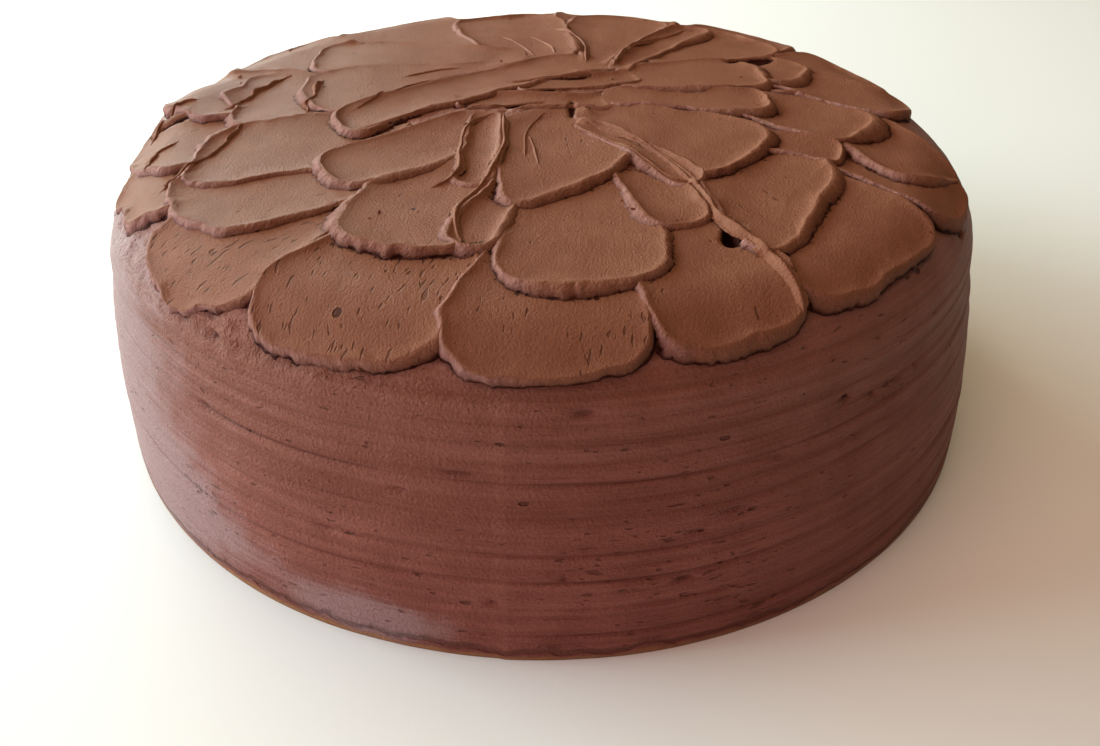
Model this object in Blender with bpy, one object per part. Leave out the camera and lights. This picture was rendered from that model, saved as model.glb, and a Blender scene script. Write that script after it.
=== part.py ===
"""An uncut layer cake, iced all over with chocolate buttercream.

The whole cake is one solid.  Its skin is worked out in three steps:
a smooth outline (flat foot, side that leans in, rounded shoulder, low dome),
the bands left by the scraper round the side, and the overlapping petals
pushed out over the top with a palette knife.  Petals are laid from the rim
inwards, so each inner petal covers the root of the one outside it.
All the sizes below are in millimetres; the finished mesh is in metres.
"""

import math
from collections import namedtuple

import bpy
import numpy as np

MM = 0.001

# ---- the smooth outline ------------------------------------------------------
FOOT_RADIUS = 116.9
WALL_TOP_RADIUS = 109.7
WALL_BULGE = 1.4
RIM_HEIGHT = 72.0
SHOULDER_WIDE = 21.3
SHOULDER_HIGH = 22.9
DOME_RISE = 5.0

# ---- the scraped side --------------------------------------------------------
BAND_EDGES = (55.0, 51.0, 46.7, 42.9, 39.3, 35.5, 32.0, 27.4, 20.9, 14.3, 6.9)
BAND_DEPTH = 0.5
BAND_WANDER = 0.7

# ---- the petals --------------------------------------------------------------
MAP_STEP = 0.5
MAP_REACH = 126.0
UNDERCOAT = -1.3
LIP_DROP = 4.5
LIP_RUN = 1.5
EDGE_WOBBLE = 0.55
ROOT_SHARE = 0.25
NOSE = 0.8

# ---- the mesh ----------------------------------------------------------------
AROUND = 320
RING_GAP = 1.2
FACES_WANTED = 9600

ICING_COLOUR = (0.22, 0.088, 0.055, 1.0)
ICING_ROUGHNESS = 0.5

# One push of the knife.  root and tip are the two ends of its middle line on
# the icing rolled out flat about the top centre; left and right are its half
# widths at those two ends, to the left and right of someone walking outwards;
# bow bends the middle line, slant turns the outer lip, square sets how boxy the
# two sides of the lip are, low and high are the floor at each end, climb how
# late it rises, crest and side are the bead raised along the lip and along the
# flanks.  A groove has no floor of its own: it sinks a little into the icing
# that is already there.
Stroke = namedtuple("Stroke", "root tip left right bow slant square low high climb crest side sink")


def stroke(root, tip, left, right=None, bow=0.0, slant=0.0, square=(3.0, 3.0),
           low=-0.7, high=0.3, climb=1.3, crest=0.35, side=0.2, sink=0.0):
    """One petal, with the usual sizes filled in."""
    return Stroke(root, tip, left, right or left, bow, slant, square, low, high, climb, crest,
                  side, sink)


def rim_stroke(root, tip, left, right=None, slant=0.0, square=(3.0, 3.0), side=0.3):
    """A petal of the outer ring, whose floor runs on level past the start of the shoulder."""
    return stroke(root, tip, left, right, slant=slant, square=square, low=RIM_LOW, high=RIM_HIGH,
                  climb=2.6, crest=0.45, side=side)


def sweep(root, tip, left, right=None, low=-0.6, high=0.0, crest=0.3, **rest):
    """A shallow stroke over the centre."""
    return stroke(root, tip, left, right, low=low, high=high, crest=crest, **rest)


def groove(root, tip, left, right=None, sink=0.4, **rest):
    """A narrow stroke that follows what it is pressed into, a little below it."""
    return stroke(root, tip, left, right, high=None, crest=0.3, side=0.3, sink=sink, **rest)


RIM_LOW = -1.0
RIM_HIGH = 1.0

RIM_PETALS = (
    rim_stroke((-10, 55), (-14, 101), (17, 20), square=(3.4, 3.4)),
    rim_stroke((-30, 45), (-54, 85), (15, 20)),
    rim_stroke((15, 50), (26, 100), (14, 20), square=(3.4, 3.4)),
    rim_stroke((-45, 25), (-85, 54), (15, 20)),
    rim_stroke((55, 20), (91, 38), (13, 18)),
    rim_stroke((42, 45), (68, 74), (12, 18)),
    rim_stroke((-65, -22), (-97, -46), (13, 15)),
    rim_stroke((-62, -6), (-103, -22), (14, 17), (10, 19), slant=8),
    rim_stroke((-62, 20), (-104, 14), (8, 21), (12, 20), slant=10),
    rim_stroke((60, -20), (97, -43), (10, 9), (8, 15)),
    rim_stroke((-43, -46), (-79.5, -76), (14, 22), (10, 15), square=(2.1, 3.2), side=0.4),
    rim_stroke((42, -43), (73, -73), (17, 19.5), (15, 27), square=(4, 3)),
    rim_stroke((-24, -54), (-37, -102), (15, 19), (4, 21), square=(3, 3.3), side=0.4),
    rim_stroke((0, -60), (0.5, -108), (16, 19.5), (6, 18.5), slant=4, square=(4.5, 2.8), side=0.4),
    rim_stroke((24, -52), (34, -99.5), (9, 17), (11, 13), slant=12, square=(5, 2.6), side=0.4),
)

MIDDLE_PETALS = (
    stroke((72, 4), (89, -38), (10, 15), (8, 10)),
    stroke((60, 26), (97, 6), (10, 13), (8, 10.5)),
    stroke((38, -30), (56.5, -61), (18, 22), (12, 20), slant=32, square=(3, 3.4)),
    stroke((-36, -28), (-80.5, -52.5), (20, 20.5), (12, 13), square=(2.2, 3)),
    stroke((6, -42), (4, -89), (16, 18.5), (15, 13), slant=8, square=(3.4, 2.8)),
    stroke((-22, -36), (-29, -75.5), (11, 14), (12, 15.5), square=(3.5, 2.6)),
    groove((-8.5, -44), (-13.5, -76), (6, 3.2), (1.5, 6), square=(2.6, 2.6)),
    groove((20, -38), (28.5, -66.5), (7, 7.5), (6.5, 6), square=(3, 2.6), sink=0.1),
    stroke((48, 4), (77.5, -18), (12, 15), (9, 9), square=(2.8, 2.8)),
    stroke((42, -18), (69.5, -30), (7, 6), low=-1.0, high=-0.6, crest=0.25),
    stroke((-45, 12), (-82.5, 4), (12, 17), (12, 23), high=-0.2, crest=0.3),
    stroke((-34, -17), (-81.5, -29), (15, 17.5), (12, 15), slant=-22, square=(2.6, 3), high=0.0),
)

CENTRE_SWEEPS = (
    sweep((-12, -14), (-47, -42.6), (10, 10.3), (9, 10.5), square=(2.6, 2.6), high=-0.3),
    sweep((0, -6), (5, -51.5), (9, 18), (14, 14), slant=30, square=(2.6, 4)),
    groove((-14, -9), (-14.5, -49), (3.5, 4), (4, 5.2), square=(2.3, 2.3)),
    sweep((10, -8), (45.5, -36.5), (12, 19.5), (4, 15.5), square=(2.8, 3)),
    groove((9, -15), (33.5, -47.5), (3.5, 4.5), (1.5, 3), square=(2.2, 2.2)),
    sweep((52, 38), (73, 26.5), (12, 12), (12, 13)),
    sweep((30, 36), (64, 66), (7, 17), square=(2.8, 2.8)),
    sweep((16, 3), (57.5, 0.5), (7, 8), (5, 7.5), high=-0.4),
    sweep((20, 18), (60, 23.5), (9, 15), (9, 11.5)),
    sweep((14, 30), (26, 89), (4, 16), side=0.3),
    sweep((20, 25), (48, 76), (3, 6), bow=1, square=(2.4, 2.4), side=0.3),
    sweep((-2, 34), (-14, 90), (12, 18), (13, 17), side=0.3),
    sweep((-6, 40), (-68, 46), (8, 16), bow=3, high=-0.5, side=0.1),
    sweep((-10, 28), (-63.5, 8), (10, 20), (8, 17.5), high=-0.5, side=0.1),
    groove((16, -1), (-22, -1), (3.5, 5), (4, 5), sink=0.1),
    groove((26, 20), (-8, 9), (3.5, 5), (5, 5.5), sink=0.3),
    sweep((20, 31), (-50.5, -14.5), (4, 10), (13, 8), bow=-5, square=(2.6, 2.6), low=0.0, high=-0.5),
)


def ease(value):
    """Smooth climb from 0 to 1 as value goes from 0 to 1."""
    value = np.clip(value, 0.0, 1.0)
    return value * value * (3.0 - 2.0 * value)


def ripple(x, y, size, seed):
    """Soft random lumps between -1 and 1, each about size across."""
    table = np.random.default_rng(seed).uniform(-1.0, 1.0, (256, 256))
    col = np.floor(x / size).astype(int)
    row = np.floor(y / size).astype(int)
    u = ease(x / size - col)
    v = ease(y / size - row)
    near = table[col % 256, row % 256] * (1 - u) + table[(col + 1) % 256, row % 256] * u
    far = table[col % 256, (row + 1) % 256] * (1 - u) + table[(col + 1) % 256, (row + 1) % 256] * u
    return near * (1 - v) + far * v


def outline():
    """Radius and height down the smooth outline, from the top centre to the foot."""
    flat = WALL_TOP_RADIUS - SHOULDER_WIDE
    wall_top = RIM_HEIGHT - SHOULDER_HIGH
    begin = math.atan2(SHOULDER_HIGH * flat, 2 * DOME_RISE * SHOULDER_WIDE)
    turn = np.linspace(begin, 0.0, 60)
    shoulder = np.stack([flat + SHOULDER_WIDE * np.cos(turn),
                         wall_top + SHOULDER_HIGH * np.sin(turn)], axis=1)
    t = np.linspace(0.0, 1.0, 60)[:-1]
    dome = np.stack([shoulder[0, 0] * t, shoulder[0, 1] + DOME_RISE * (1 - t * t)], axis=1)
    up = np.linspace(1.0, 0.0, 60)[1:]
    lean = FOOT_RADIUS * (1 - up) + WALL_TOP_RADIUS * up
    wall = np.stack([lean + WALL_BULGE * 4 * up * (1 - up), wall_top * up], axis=1)
    return np.concatenate([dome, shoulder, wall])


def along_outline(line):
    """Distance covered down the outline at each of its points."""
    steps = np.hypot(*np.diff(line, axis=0).T)
    return np.concatenate([[0.0], np.cumsum(steps)])


def window(axis, shape):
    """The part of the rolled-out top that one stroke can touch."""
    margin = max(shape.left + shape.right) + abs(shape.bow) + 8.0
    low = np.minimum(shape.root, shape.tip) - margin
    high = np.maximum(shape.root, shape.tip) + margin
    rows = slice(*np.searchsorted(axis, (low[1], high[1])))
    cols = slice(*np.searchsorted(axis, (low[0], high[0])))
    return rows, cols


def stroke_frame(x, y, shape):
    """Place along the stroke (0 root, 1 tip) and sideways offset from its middle line."""
    ahead = np.subtract(shape.tip, shape.root).astype(float)
    length = math.hypot(*ahead)
    ahead = ahead / length
    px = x - shape.root[0]
    py = y - shape.root[1]
    along = (px * ahead[0] + py * ahead[1]) / length
    offset = py * ahead[0] - px * ahead[1]
    offset = offset - shape.bow * 4 * along * (1 - along)
    along = along + math.tan(math.radians(shape.slant)) * offset / length
    return along, offset, length


def either(offset, left, right):
    """The left or the right value, by the side of the middle line a point is on."""
    return np.where(offset > 0, left, right)


def inside_depth(x, y, shape, seed):
    """How far a point lies inside the petal's edge; negative outside."""
    along, offset, length = stroke_frame(x, y, shape)
    start = either(offset, shape.left[0], shape.right[0])
    end = either(offset, shape.left[1], shape.right[1])
    half = start + (end - start) * ease(np.clip(along, 0, 1) / 0.75)
    tip = NOSE * (shape.left[1] + shape.right[1]) / 2 / length
    root = np.minimum(ROOT_SHARE, start / length)
    past_tip = np.maximum(0.0, (along - 1 + tip) / tip)
    past_root = np.maximum(0.0, (root - along) / root)
    k = either(offset, *shape.square)
    level = ((np.abs(offset) / half) ** k + np.maximum(past_tip, past_root) ** k + 1e-9) ** (1 / k)
    slope_y, slope_x = np.gradient(level, MAP_STEP)
    depth = (1 - level) / np.maximum(np.hypot(slope_x, slope_y), 0.01)
    depth = depth + EDGE_WOBBLE * ripple(x + 31 * seed, y, 9.0, 11)
    depth = depth + 0.35 * EDGE_WOBBLE * ripple(x, y + 17 * seed, 3.0, 12)
    return depth, along, offset / half


def press(height, x, y, shape, seed):
    """The icing height after one push of the knife."""
    depth, along, across = inside_depth(x, y, shape, seed)
    if shape.high is None:
        floor = height - shape.sink
    else:
        floor = shape.low + (shape.high - shape.low) * np.clip(along, 0, 1.05) ** shape.climb
    floor = floor + 0.3 * np.clip(across, -1, 1) ** 2
    bead = shape.side + (shape.crest - shape.side) * ease((along - 0.55) / 0.35)
    rise = ease((depth + 0.6) / 1.1)
    ridge = bead * rise * np.exp(-np.maximum(depth - 0.5, 0) / 1.6)
    lip = floor + bead * rise - LIP_DROP * (np.maximum(-depth, 0) / LIP_RUN) ** 1.6
    settled = ease(along / 0.15)
    smoothed = height + (floor + ridge - height) * settled
    piled = np.where(settled > 0.5, np.maximum(height, lip), height)
    return np.where(depth > 0, smoothed, piled)


def petal_map():
    """Height of the petals over the smooth outline, on the icing rolled out flat."""
    axis = np.arange(-MAP_REACH, MAP_REACH + MAP_STEP / 2, MAP_STEP)
    x, y = np.meshgrid(axis, axis)
    reach = np.hypot(x, y)
    height = UNDERCOAT + 0.5 * ripple(x, y, 14.0, 1)
    height = height * ease((124.0 - reach) / 22.0)
    for seed, shape in enumerate(RIM_PETALS + MIDDLE_PETALS + CENTRE_SWEEPS):
        rows, cols = window(axis, shape)
        height[rows, cols] = press(height[rows, cols], x[rows, cols], y[rows, cols], shape, seed)
    return height


def sample(height, x, y):
    """The petal height at any rolled-out point, blended from the four around it."""
    u = (np.clip(x, -MAP_REACH, MAP_REACH - 0.01) + MAP_REACH) / MAP_STEP
    v = (np.clip(y, -MAP_REACH, MAP_REACH - 0.01) + MAP_REACH) / MAP_STEP
    col = np.floor(u).astype(int)
    row = np.floor(v).astype(int)
    u = u - col
    v = v - row
    near = height[row, col] * (1 - u) + height[row, col + 1] * u
    far = height[row + 1, col] * (1 - u) + height[row + 1, col + 1] * u
    return near * (1 - v) + far * v


def band_height(level, turn):
    """The scraper's bands: each hollows a little towards its lower edge."""
    level = level + BAND_WANDER * ripple(turn * 12 / math.pi, level / 20, 3.0, 5)
    edges = np.array((RIM_HEIGHT,) + BAND_EDGES + (0.0,))[::-1]
    which = np.clip(np.searchsorted(edges, level) - 1, 0, len(edges) - 2)
    part = (level - edges[which]) / (edges[which + 1] - edges[which])
    return BAND_DEPTH * (part ** 2 - 0.5)


def skin():
    """Every point of the iced skin, ring by ring from the top centre to the foot."""
    line = outline()
    covered = along_outline(line)
    rings = int(covered[-1] / RING_GAP)
    down = np.linspace(0.0, covered[-1], rings + 1)[1:]
    turn = np.arange(AROUND) * 2 * math.pi / AROUND
    down, turn = np.meshgrid(down, turn, indexing="ij")
    radius = np.interp(down, covered, line[:, 0])
    level = np.interp(down, covered, line[:, 1])
    run = np.interp(down + 0.5, covered, line[:, 0]) - np.interp(down - 0.5, covered, line[:, 0])
    fall = np.interp(down + 0.5, covered, line[:, 1]) - np.interp(down - 0.5, covered, line[:, 1])
    size = np.hypot(run, fall)
    raised = sample(petal_map(), down * np.cos(turn), down * np.sin(turn))
    raised = raised * ease((126.0 - down) / 4.0)
    raised = raised + band_height(level, turn) * ease((down - 108.0) / 12.0)
    raised = raised * ease((covered[-1] - down) / 2.0)
    radius = radius - fall / size * raised
    level = level + run / size * raised
    level[-1] = 0.0
    points = np.stack([radius * np.cos(turn), radius * np.sin(turn), level], axis=-1)
    return points.reshape(-1, 3), rings


def cake_faces(rings):
    """Four-sided faces down the skin, closed by a fan at the top and one underneath."""
    index = 1 + np.arange(rings * AROUND).reshape(rings, AROUND)
    ahead = np.roll(index, -1, axis=1)
    faces = [(0, a, b) for a, b in zip(index[0].tolist(), ahead[0].tolist())]
    quads = np.stack([index[:-1], index[1:], ahead[1:], ahead[:-1]], axis=-1)
    faces += quads.reshape(-1, 4).tolist()
    under = rings * AROUND + 1
    faces += [(under, b, a) for a, b in zip(index[-1].tolist(), ahead[-1].tolist())]
    return faces


def icing():
    """Nearly matt chocolate buttercream."""
    material = bpy.data.materials.new("chocolate_icing")
    material.use_nodes = True
    shader = material.node_tree.nodes["Principled BSDF"]
    shader.inputs["Base Color"].default_value = ICING_COLOUR
    shader.inputs["Roughness"].default_value = ICING_ROUGHNESS
    shader.inputs["Metallic"].default_value = 0.0
    return material


def fine_cake():
    """The cake at full detail."""
    points, rings = skin()
    top = (0.0, 0.0, RIM_HEIGHT + DOME_RISE + float(sample(petal_map(), 0.0, 0.0)))
    under = (0.0, 0.0, 0.0)
    points = np.vstack([[top], points, [under]]) * MM
    mesh = bpy.data.meshes.new("fine_cake")
    mesh.from_pydata(points.tolist(), [], cake_faces(rings))
    return bpy.data.objects.new("fine_cake", mesh)


def thinned(source, name):
    """The same body with small faces kept only where the skin bends sharply."""
    bpy.context.scene.collection.objects.link(source)
    faces = sum(len(face.vertices) - 2 for face in source.data.polygons)
    thin = source.modifiers.new("thin", "DECIMATE")
    thin.ratio = FACES_WANTED / faces
    graph = bpy.context.evaluated_depsgraph_get()
    mesh = bpy.data.meshes.new_from_object(source.evaluated_get(graph))
    bpy.data.objects.remove(source)
    mesh.name = name
    return bpy.data.objects.new(name, mesh)


def build():
    for old in list(bpy.data.objects):
        bpy.data.objects.remove(old)
    cake = thinned(fine_cake(), "cake")
    bpy.context.scene.collection.objects.link(cake)
    cake.data.materials.clear()
    cake.data.materials.append(icing())
    cake.data.shade_smooth()
    cake.data.set_sharp_from_angle(angle=math.radians(50))
    print("cake:", len(cake.data.polygons), "faces")


build()
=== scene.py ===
# %% [markdown]
# # A chocolate layer cake
# The cake is uncut and iced all over with chocolate buttercream.  A metal scraper held against
# the side while the cake turned has left flat bands, and the top was pushed out from the middle
# in short overlapping strokes of a palette knife, like petals.  What makes it look real is the
# depth of those strokes: each one has a smooth, slightly hollow floor, a bead along its flanks
# and a thick lip that stands over the next stroke out.
#
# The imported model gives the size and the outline.  Everything here is built on it, in metres.

# %% Load the frame
import math
from collections import namedtuple
from functools import partial

import bpy
import numpy as np
from mathutils import Euler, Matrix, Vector


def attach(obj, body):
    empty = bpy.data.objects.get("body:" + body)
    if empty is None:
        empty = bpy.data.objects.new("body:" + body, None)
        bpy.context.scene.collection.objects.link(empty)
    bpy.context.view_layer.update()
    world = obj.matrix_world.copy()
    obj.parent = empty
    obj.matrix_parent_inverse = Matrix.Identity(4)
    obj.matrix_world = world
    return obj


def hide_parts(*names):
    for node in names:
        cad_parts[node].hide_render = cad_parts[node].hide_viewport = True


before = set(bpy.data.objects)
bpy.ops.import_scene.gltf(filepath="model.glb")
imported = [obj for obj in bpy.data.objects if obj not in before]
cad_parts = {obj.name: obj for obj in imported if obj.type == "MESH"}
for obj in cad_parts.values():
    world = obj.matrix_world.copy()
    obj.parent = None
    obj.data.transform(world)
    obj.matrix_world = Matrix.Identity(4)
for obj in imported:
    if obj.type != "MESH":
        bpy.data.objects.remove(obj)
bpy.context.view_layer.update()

MM = 0.001

# %% [markdown]
# ## Camera
# The camera looks down on the cake from the front, close enough that the near edge looms.  A wide
# lens close by gives that strong taper; a longer lens further off would flatten it.

# %% Camera
CAMERA_PLACE = (0.0014, -0.2402, 0.1611)
CAMERA_TILT = math.radians(54.28)
LENS = 31.02
SENSOR_WIDTH = 36.0
NEAREST = 0.01

camera_data = bpy.data.cameras.new("camera")
camera_data.lens = LENS
camera_data.sensor_width = SENSOR_WIDTH
camera_data.clip_start = NEAREST
camera_data.dof.use_dof = False
camera = bpy.data.objects.new("camera", camera_data)
camera.location = CAMERA_PLACE
camera.rotation_euler = Euler((CAMERA_TILT, 0.0, 0.0))
bpy.context.scene.collection.objects.link(camera)
bpy.context.scene.camera = camera
print("camera at", CAMERA_PLACE, "lens", LENS)

# %% [markdown]
# ## Small helpers
# Two shapes of number turn up everywhere below: a soft step from 0 to 1, and soft random lumps.
# The lumps come from a table of random numbers made from a fixed seed, so that the cake comes out
# the same each time; each use has a seed of its own, so that no two patterns are alike.

# %% Helpers
TABLE_SIZE = 256


def ease(value):
    """Smooth climb from 0 to 1 as value goes from 0 to 1."""
    value = np.clip(value, 0.0, 1.0)
    return value * value * (3.0 - 2.0 * value)


def read(table, col, row, u, v):
    """A table read u and v of the way to the next values; it wraps round at its ends."""
    columns, rows = table.shape
    col, row, right, up = col % columns, row % rows, (col + 1) % columns, (row + 1) % rows
    near = table[col, row] * (1 - u) + table[right, row] * u
    far = table[col, up] * (1 - u) + table[right, up] * u
    return near * (1 - v) + far * v


def ripple(x, y, size, seed):
    """Soft random lumps between -1 and 1, each about size across."""
    table = np.random.default_rng(seed).uniform(-1.0, 1.0, (TABLE_SIZE, TABLE_SIZE))
    col = np.floor(x / size).astype(int)
    row = np.floor(y / size).astype(int)
    return read(table, col, row, ease(x / size - col), ease(y / size - row))


def link(item):
    """Put an object in the scene."""
    bpy.context.scene.collection.objects.link(item)
    return item


# %% [markdown]
# ## The outline
# Seen from the side, the cake is a low dome, a rounded shoulder and a wall that leans in towards
# the top.  One curve from the top centre down to the foot holds all of it, and every point of the
# icing is named by how far down that curve it lies and which way round.  It is as if the icing
# could be peeled off and rolled out flat: `lay` puts it back on the cake.  No cake is quite round,
# so a few wide swells and hollows, the largest at the left where the icing bulges, go on top.

# %% Outline
FOOT_RADIUS = 116.9
WALL_TOP_RADIUS = 109.7
WALL_BULGE = 1.4
RIM_HEIGHT = 72.0
SHOULDER_WIDE = 21.3
SHOULDER_HIGH = 22.9
DOME_RISE = 5.0
OUTLINE_STEPS = 60


def outline():
    """Radius and height down the smooth outline, from the top centre to the foot."""
    flat = WALL_TOP_RADIUS - SHOULDER_WIDE
    wall_top = RIM_HEIGHT - SHOULDER_HIGH
    begin = math.atan2(SHOULDER_HIGH * flat, 2 * DOME_RISE * SHOULDER_WIDE)
    turn = np.linspace(begin, 0.0, OUTLINE_STEPS)
    shoulder = np.stack([flat + SHOULDER_WIDE * np.cos(turn),
                         wall_top + SHOULDER_HIGH * np.sin(turn)], axis=1)
    t = np.linspace(0.0, 1.0, OUTLINE_STEPS)[:-1]
    dome = np.stack([shoulder[0, 0] * t, shoulder[0, 1] + DOME_RISE * (1 - t * t)], axis=1)
    up = np.linspace(1.0, 0.0, OUTLINE_STEPS)[1:]
    lean = FOOT_RADIUS * (1 - up) + WALL_TOP_RADIUS * up
    wall = np.stack([lean + WALL_BULGE * 4 * up * (1 - up), wall_top * up], axis=1)
    return np.concatenate([dome, shoulder, wall])


LINE = outline()
COVERED = np.concatenate([[0.0], np.cumsum(np.hypot(*np.diff(LINE, axis=0).T))])
SKIN_LENGTH = float(COVERED[-1])

# Each swell: its place to the right and ahead, how wide it is and how high.
SWELLS = ((-99, 14, 15, 3.0), (-113, -53, 26, 1.4), (95, 40, 15, -1.5), (-60, -115, 30, 0.5),
          (70, -110, 35, -0.4), (20, 120, 30, 0.5))


def swelling(x, y):
    """How far the cake is out of true: a few wide, low swells and hollows."""
    total = 0 * x
    for left, ahead, wide, rise in SWELLS:
        total = total + rise * np.exp(-((x - left) ** 2 + (y - ahead) ** 2) / wide ** 2)
    return total


def outline_at(down):
    """Radius and height of the outline some way down it."""
    return np.stack([np.interp(down, COVERED, LINE[:, 0]), np.interp(down, COVERED, LINE[:, 1])])


def lay(x, y, raised):
    """Points of the rolled-out icing put back on the cake, raised off its smooth outline."""
    down = np.hypot(x, y)
    raised = raised + swelling(x, y)
    way_x = np.where(down > 0, x / np.maximum(down, 1e-9), 1.0)
    way_y = np.where(down > 0, y / np.maximum(down, 1e-9), 0.0)
    radius, level = outline_at(down)
    run, fall = outline_at(down + 1.0) - outline_at(down - 1.0)
    size = np.hypot(run, fall)
    radius = radius - fall / size * raised
    level = level + run / size * raised
    return np.stack([radius * way_x, radius * way_y, level], axis=-1) * MM


print("icing measured from top centre to foot:", round(SKIN_LENGTH, 1), "mm")

# %% [markdown]
# ## Sums with sockets
# A finish is a long sum of textures.  Wrapping a socket in a small class lets the sum be written
# as ordinary Python, and each operator adds its own node.

# %% Wire
class Wire:
    """A socket of a node tree that can stand in a sum."""

    def __init__(self, tree, socket=None):
        self.tree = tree
        self.socket = socket

    def node(self, kind, settings, inputs, give=0):
        """Any node: its settings first, then the values or wires of its sockets."""
        made = self.tree.nodes.new(kind)
        for name, value in settings.items():
            setattr(made, name, value)
        for name, value in inputs.items():
            if isinstance(value, Wire):
                self.tree.links.new(value.socket, made.inputs[name])
            else:
                made.inputs[name].default_value = value
        return Wire(self.tree, made.outputs[give])

    def sum(self, operation, *values):
        """A Math node."""
        return self.node("ShaderNodeMath", {"operation": operation}, dict(enumerate(values)))

    def vector(self, operation, other):
        """A Vector Math node: Scale has a socket of its own, and Distance gives a number."""
        inputs = {0: self, "Scale" if operation == "SCALE" else 1: other}
        give = "Value" if operation == "DISTANCE" else 0
        return self.node("ShaderNodeVectorMath", {"operation": operation}, inputs, give)

    def __add__(self, other):
        return self.sum("ADD", self, other)

    def __sub__(self, other):
        return self.sum("SUBTRACT", self, other)

    def __mul__(self, other):
        return self.sum("MULTIPLY", self, other)

    def __radd__(self, other):
        return self.sum("ADD", other, self)

    def __rsub__(self, other):
        return self.sum("SUBTRACT", other, self)

    def __rmul__(self, other):
        return self.sum("MULTIPLY", other, self)

    def between(self, low, high):
        """Soft step: 0 below low, 1 above high."""
        return self.node("ShaderNodeMapRange", {"interpolation_type": "SMOOTHSTEP"},
                         {"Value": self, "From Min": low, "From Max": high})

    def layer(self, name):
        """A number stored on the mesh."""
        return self.node("ShaderNodeAttribute", {"attribute_name": name}, {}, "Fac")

    def point(self, x, y, z=0.0):
        """Three numbers as one vector."""
        return self.node("ShaderNodeCombineXYZ", {}, {"X": x, "Y": y, "Z": z})

    def noise(self, vector, scale, detail=2.0, rough=0.5):
        """Soft lumps between 0 and 1."""
        return self.node("ShaderNodeTexNoise", {},
                         {"Vector": vector, "Scale": scale, "Detail": detail, "Roughness": rough})

    def nearest(self, vector, scale):
        """How far away the nearest of many scattered points is."""
        return self.node("ShaderNodeTexVoronoi", {"feature": "F1"},
                         {"Vector": vector, "Scale": scale, "Randomness": 1.0}, "Distance")

    def blend(self, share, first, second):
        """One colour fading into another."""
        return self.node("ShaderNodeMix", {"data_type": "RGBA"}, {0: share, 6: first, 7: second}, 2)


# %% [markdown]
# ## Finish
# Buttercream is fat and sugar: opaque and nearly matt.  The knife leaves a fine grain and, where
# it dragged, short slits that all point the way it went.  Small bubbles leave pits all over, and
# six larger ones burst at places of their own; slits, pits and hollows are darkened with painted
# shade.  The torn banks are rougher, paler and combed downwards, and where they face the left
# their paleness is also painted sheen from the windows.  All of it is a sum of textures, some on
# the place in the cake and some on the run of each stroke, stored on the mesh.
#
# The scraped side is the same paste, but everything on it is drawn out level, so its textures are
# squeezed in height.  It pales towards the top, has pale greasy smears at the left, the widest of
# them painted sheen from the windows, and ends in a crease just above the foot, darkened with
# painted shade, where a thin golden line shows under it.  Its bands are lighter on their swells,
# as painted light, and darker in their grooves, as painted shade.

# %% Icing colours
ICING_LIGHT = (0.255, 0.103, 0.058, 1.0)
ICING_BROWN = (0.2, 0.076, 0.043, 1.0)
# Torn paste, paler; where banks face the left it also stands for painted sheen from the windows.
ICING_TORN_AND_SHEEN = (0.31, 0.15, 0.125, 1.0)
# Painted shade: slits, pits, holes, hollows, creases and the feet of banks are darkened with it.
ICING_SHADE = (0.045, 0.011, 0.007, 1.0)
SCRAPED_LIGHT = (0.28, 0.098, 0.07, 1.0)
SCRAPED_BROWN = (0.188, 0.058, 0.04, 1.0)
SCRAPED_UPPER = (0.265, 0.115, 0.083, 1.0)
# Pale greasy smears; the widest, at the left, is painted sheen from the windows.
SCRAPED_SMEAR_AND_SHEEN = (0.31, 0.19, 0.18, 1.0)
ICING_GOLD = (0.34, 0.17, 0.07, 1.0)
KNIFED_GLOSS = 0.04
SCRAPED_GLOSS = 0.08


def millimetres(w):
    """The place on the cake, in millimetres."""
    spot = w.node("ShaderNodeTexCoord", {}, {}, "Object")
    return spot.vector("SCALE", 1 / MM)


def icing_shader(name, recipe, gloss):
    """A nearly matt icing whose colour, roughness and relief come from a recipe."""
    material = bpy.data.materials.new(name)
    material.use_nodes = True
    tree = material.node_tree
    shader = tree.nodes["Principled BSDF"]
    colour, rough, relief = recipe(Wire(tree))
    bump = relief.node("ShaderNodeBump", {}, {"Height": relief, "Distance": MM, "Strength": 1.0})
    tree.links.new(colour.socket, shader.inputs["Base Color"])
    tree.links.new(rough.socket, shader.inputs["Roughness"])
    tree.links.new(bump.socket, shader.inputs["Normal"])
    shader.inputs["Specular IOR Level"].default_value = gloss
    print(name, "nodes:", len(tree.nodes))
    return material


# %% Knifed icing
# Each burst bubble: its place on the rolled-out icing, and its radius.
BUBBLES = ((-38, -93, 1.1), (-27, -60, 0.6), (10, -92, 0.6), (19, -107, 0.5), (-60, 15, 0.6),
           (44, 62, 0.6))


def bubble_place(left, ahead):
    """The middle of a burst bubble on the cake, seen from above."""
    place = lay(np.array([float(left)]), np.array([float(ahead)]), np.zeros(1))
    return place[0, 0] / MM, place[0, 1] / MM, 0.0


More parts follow.
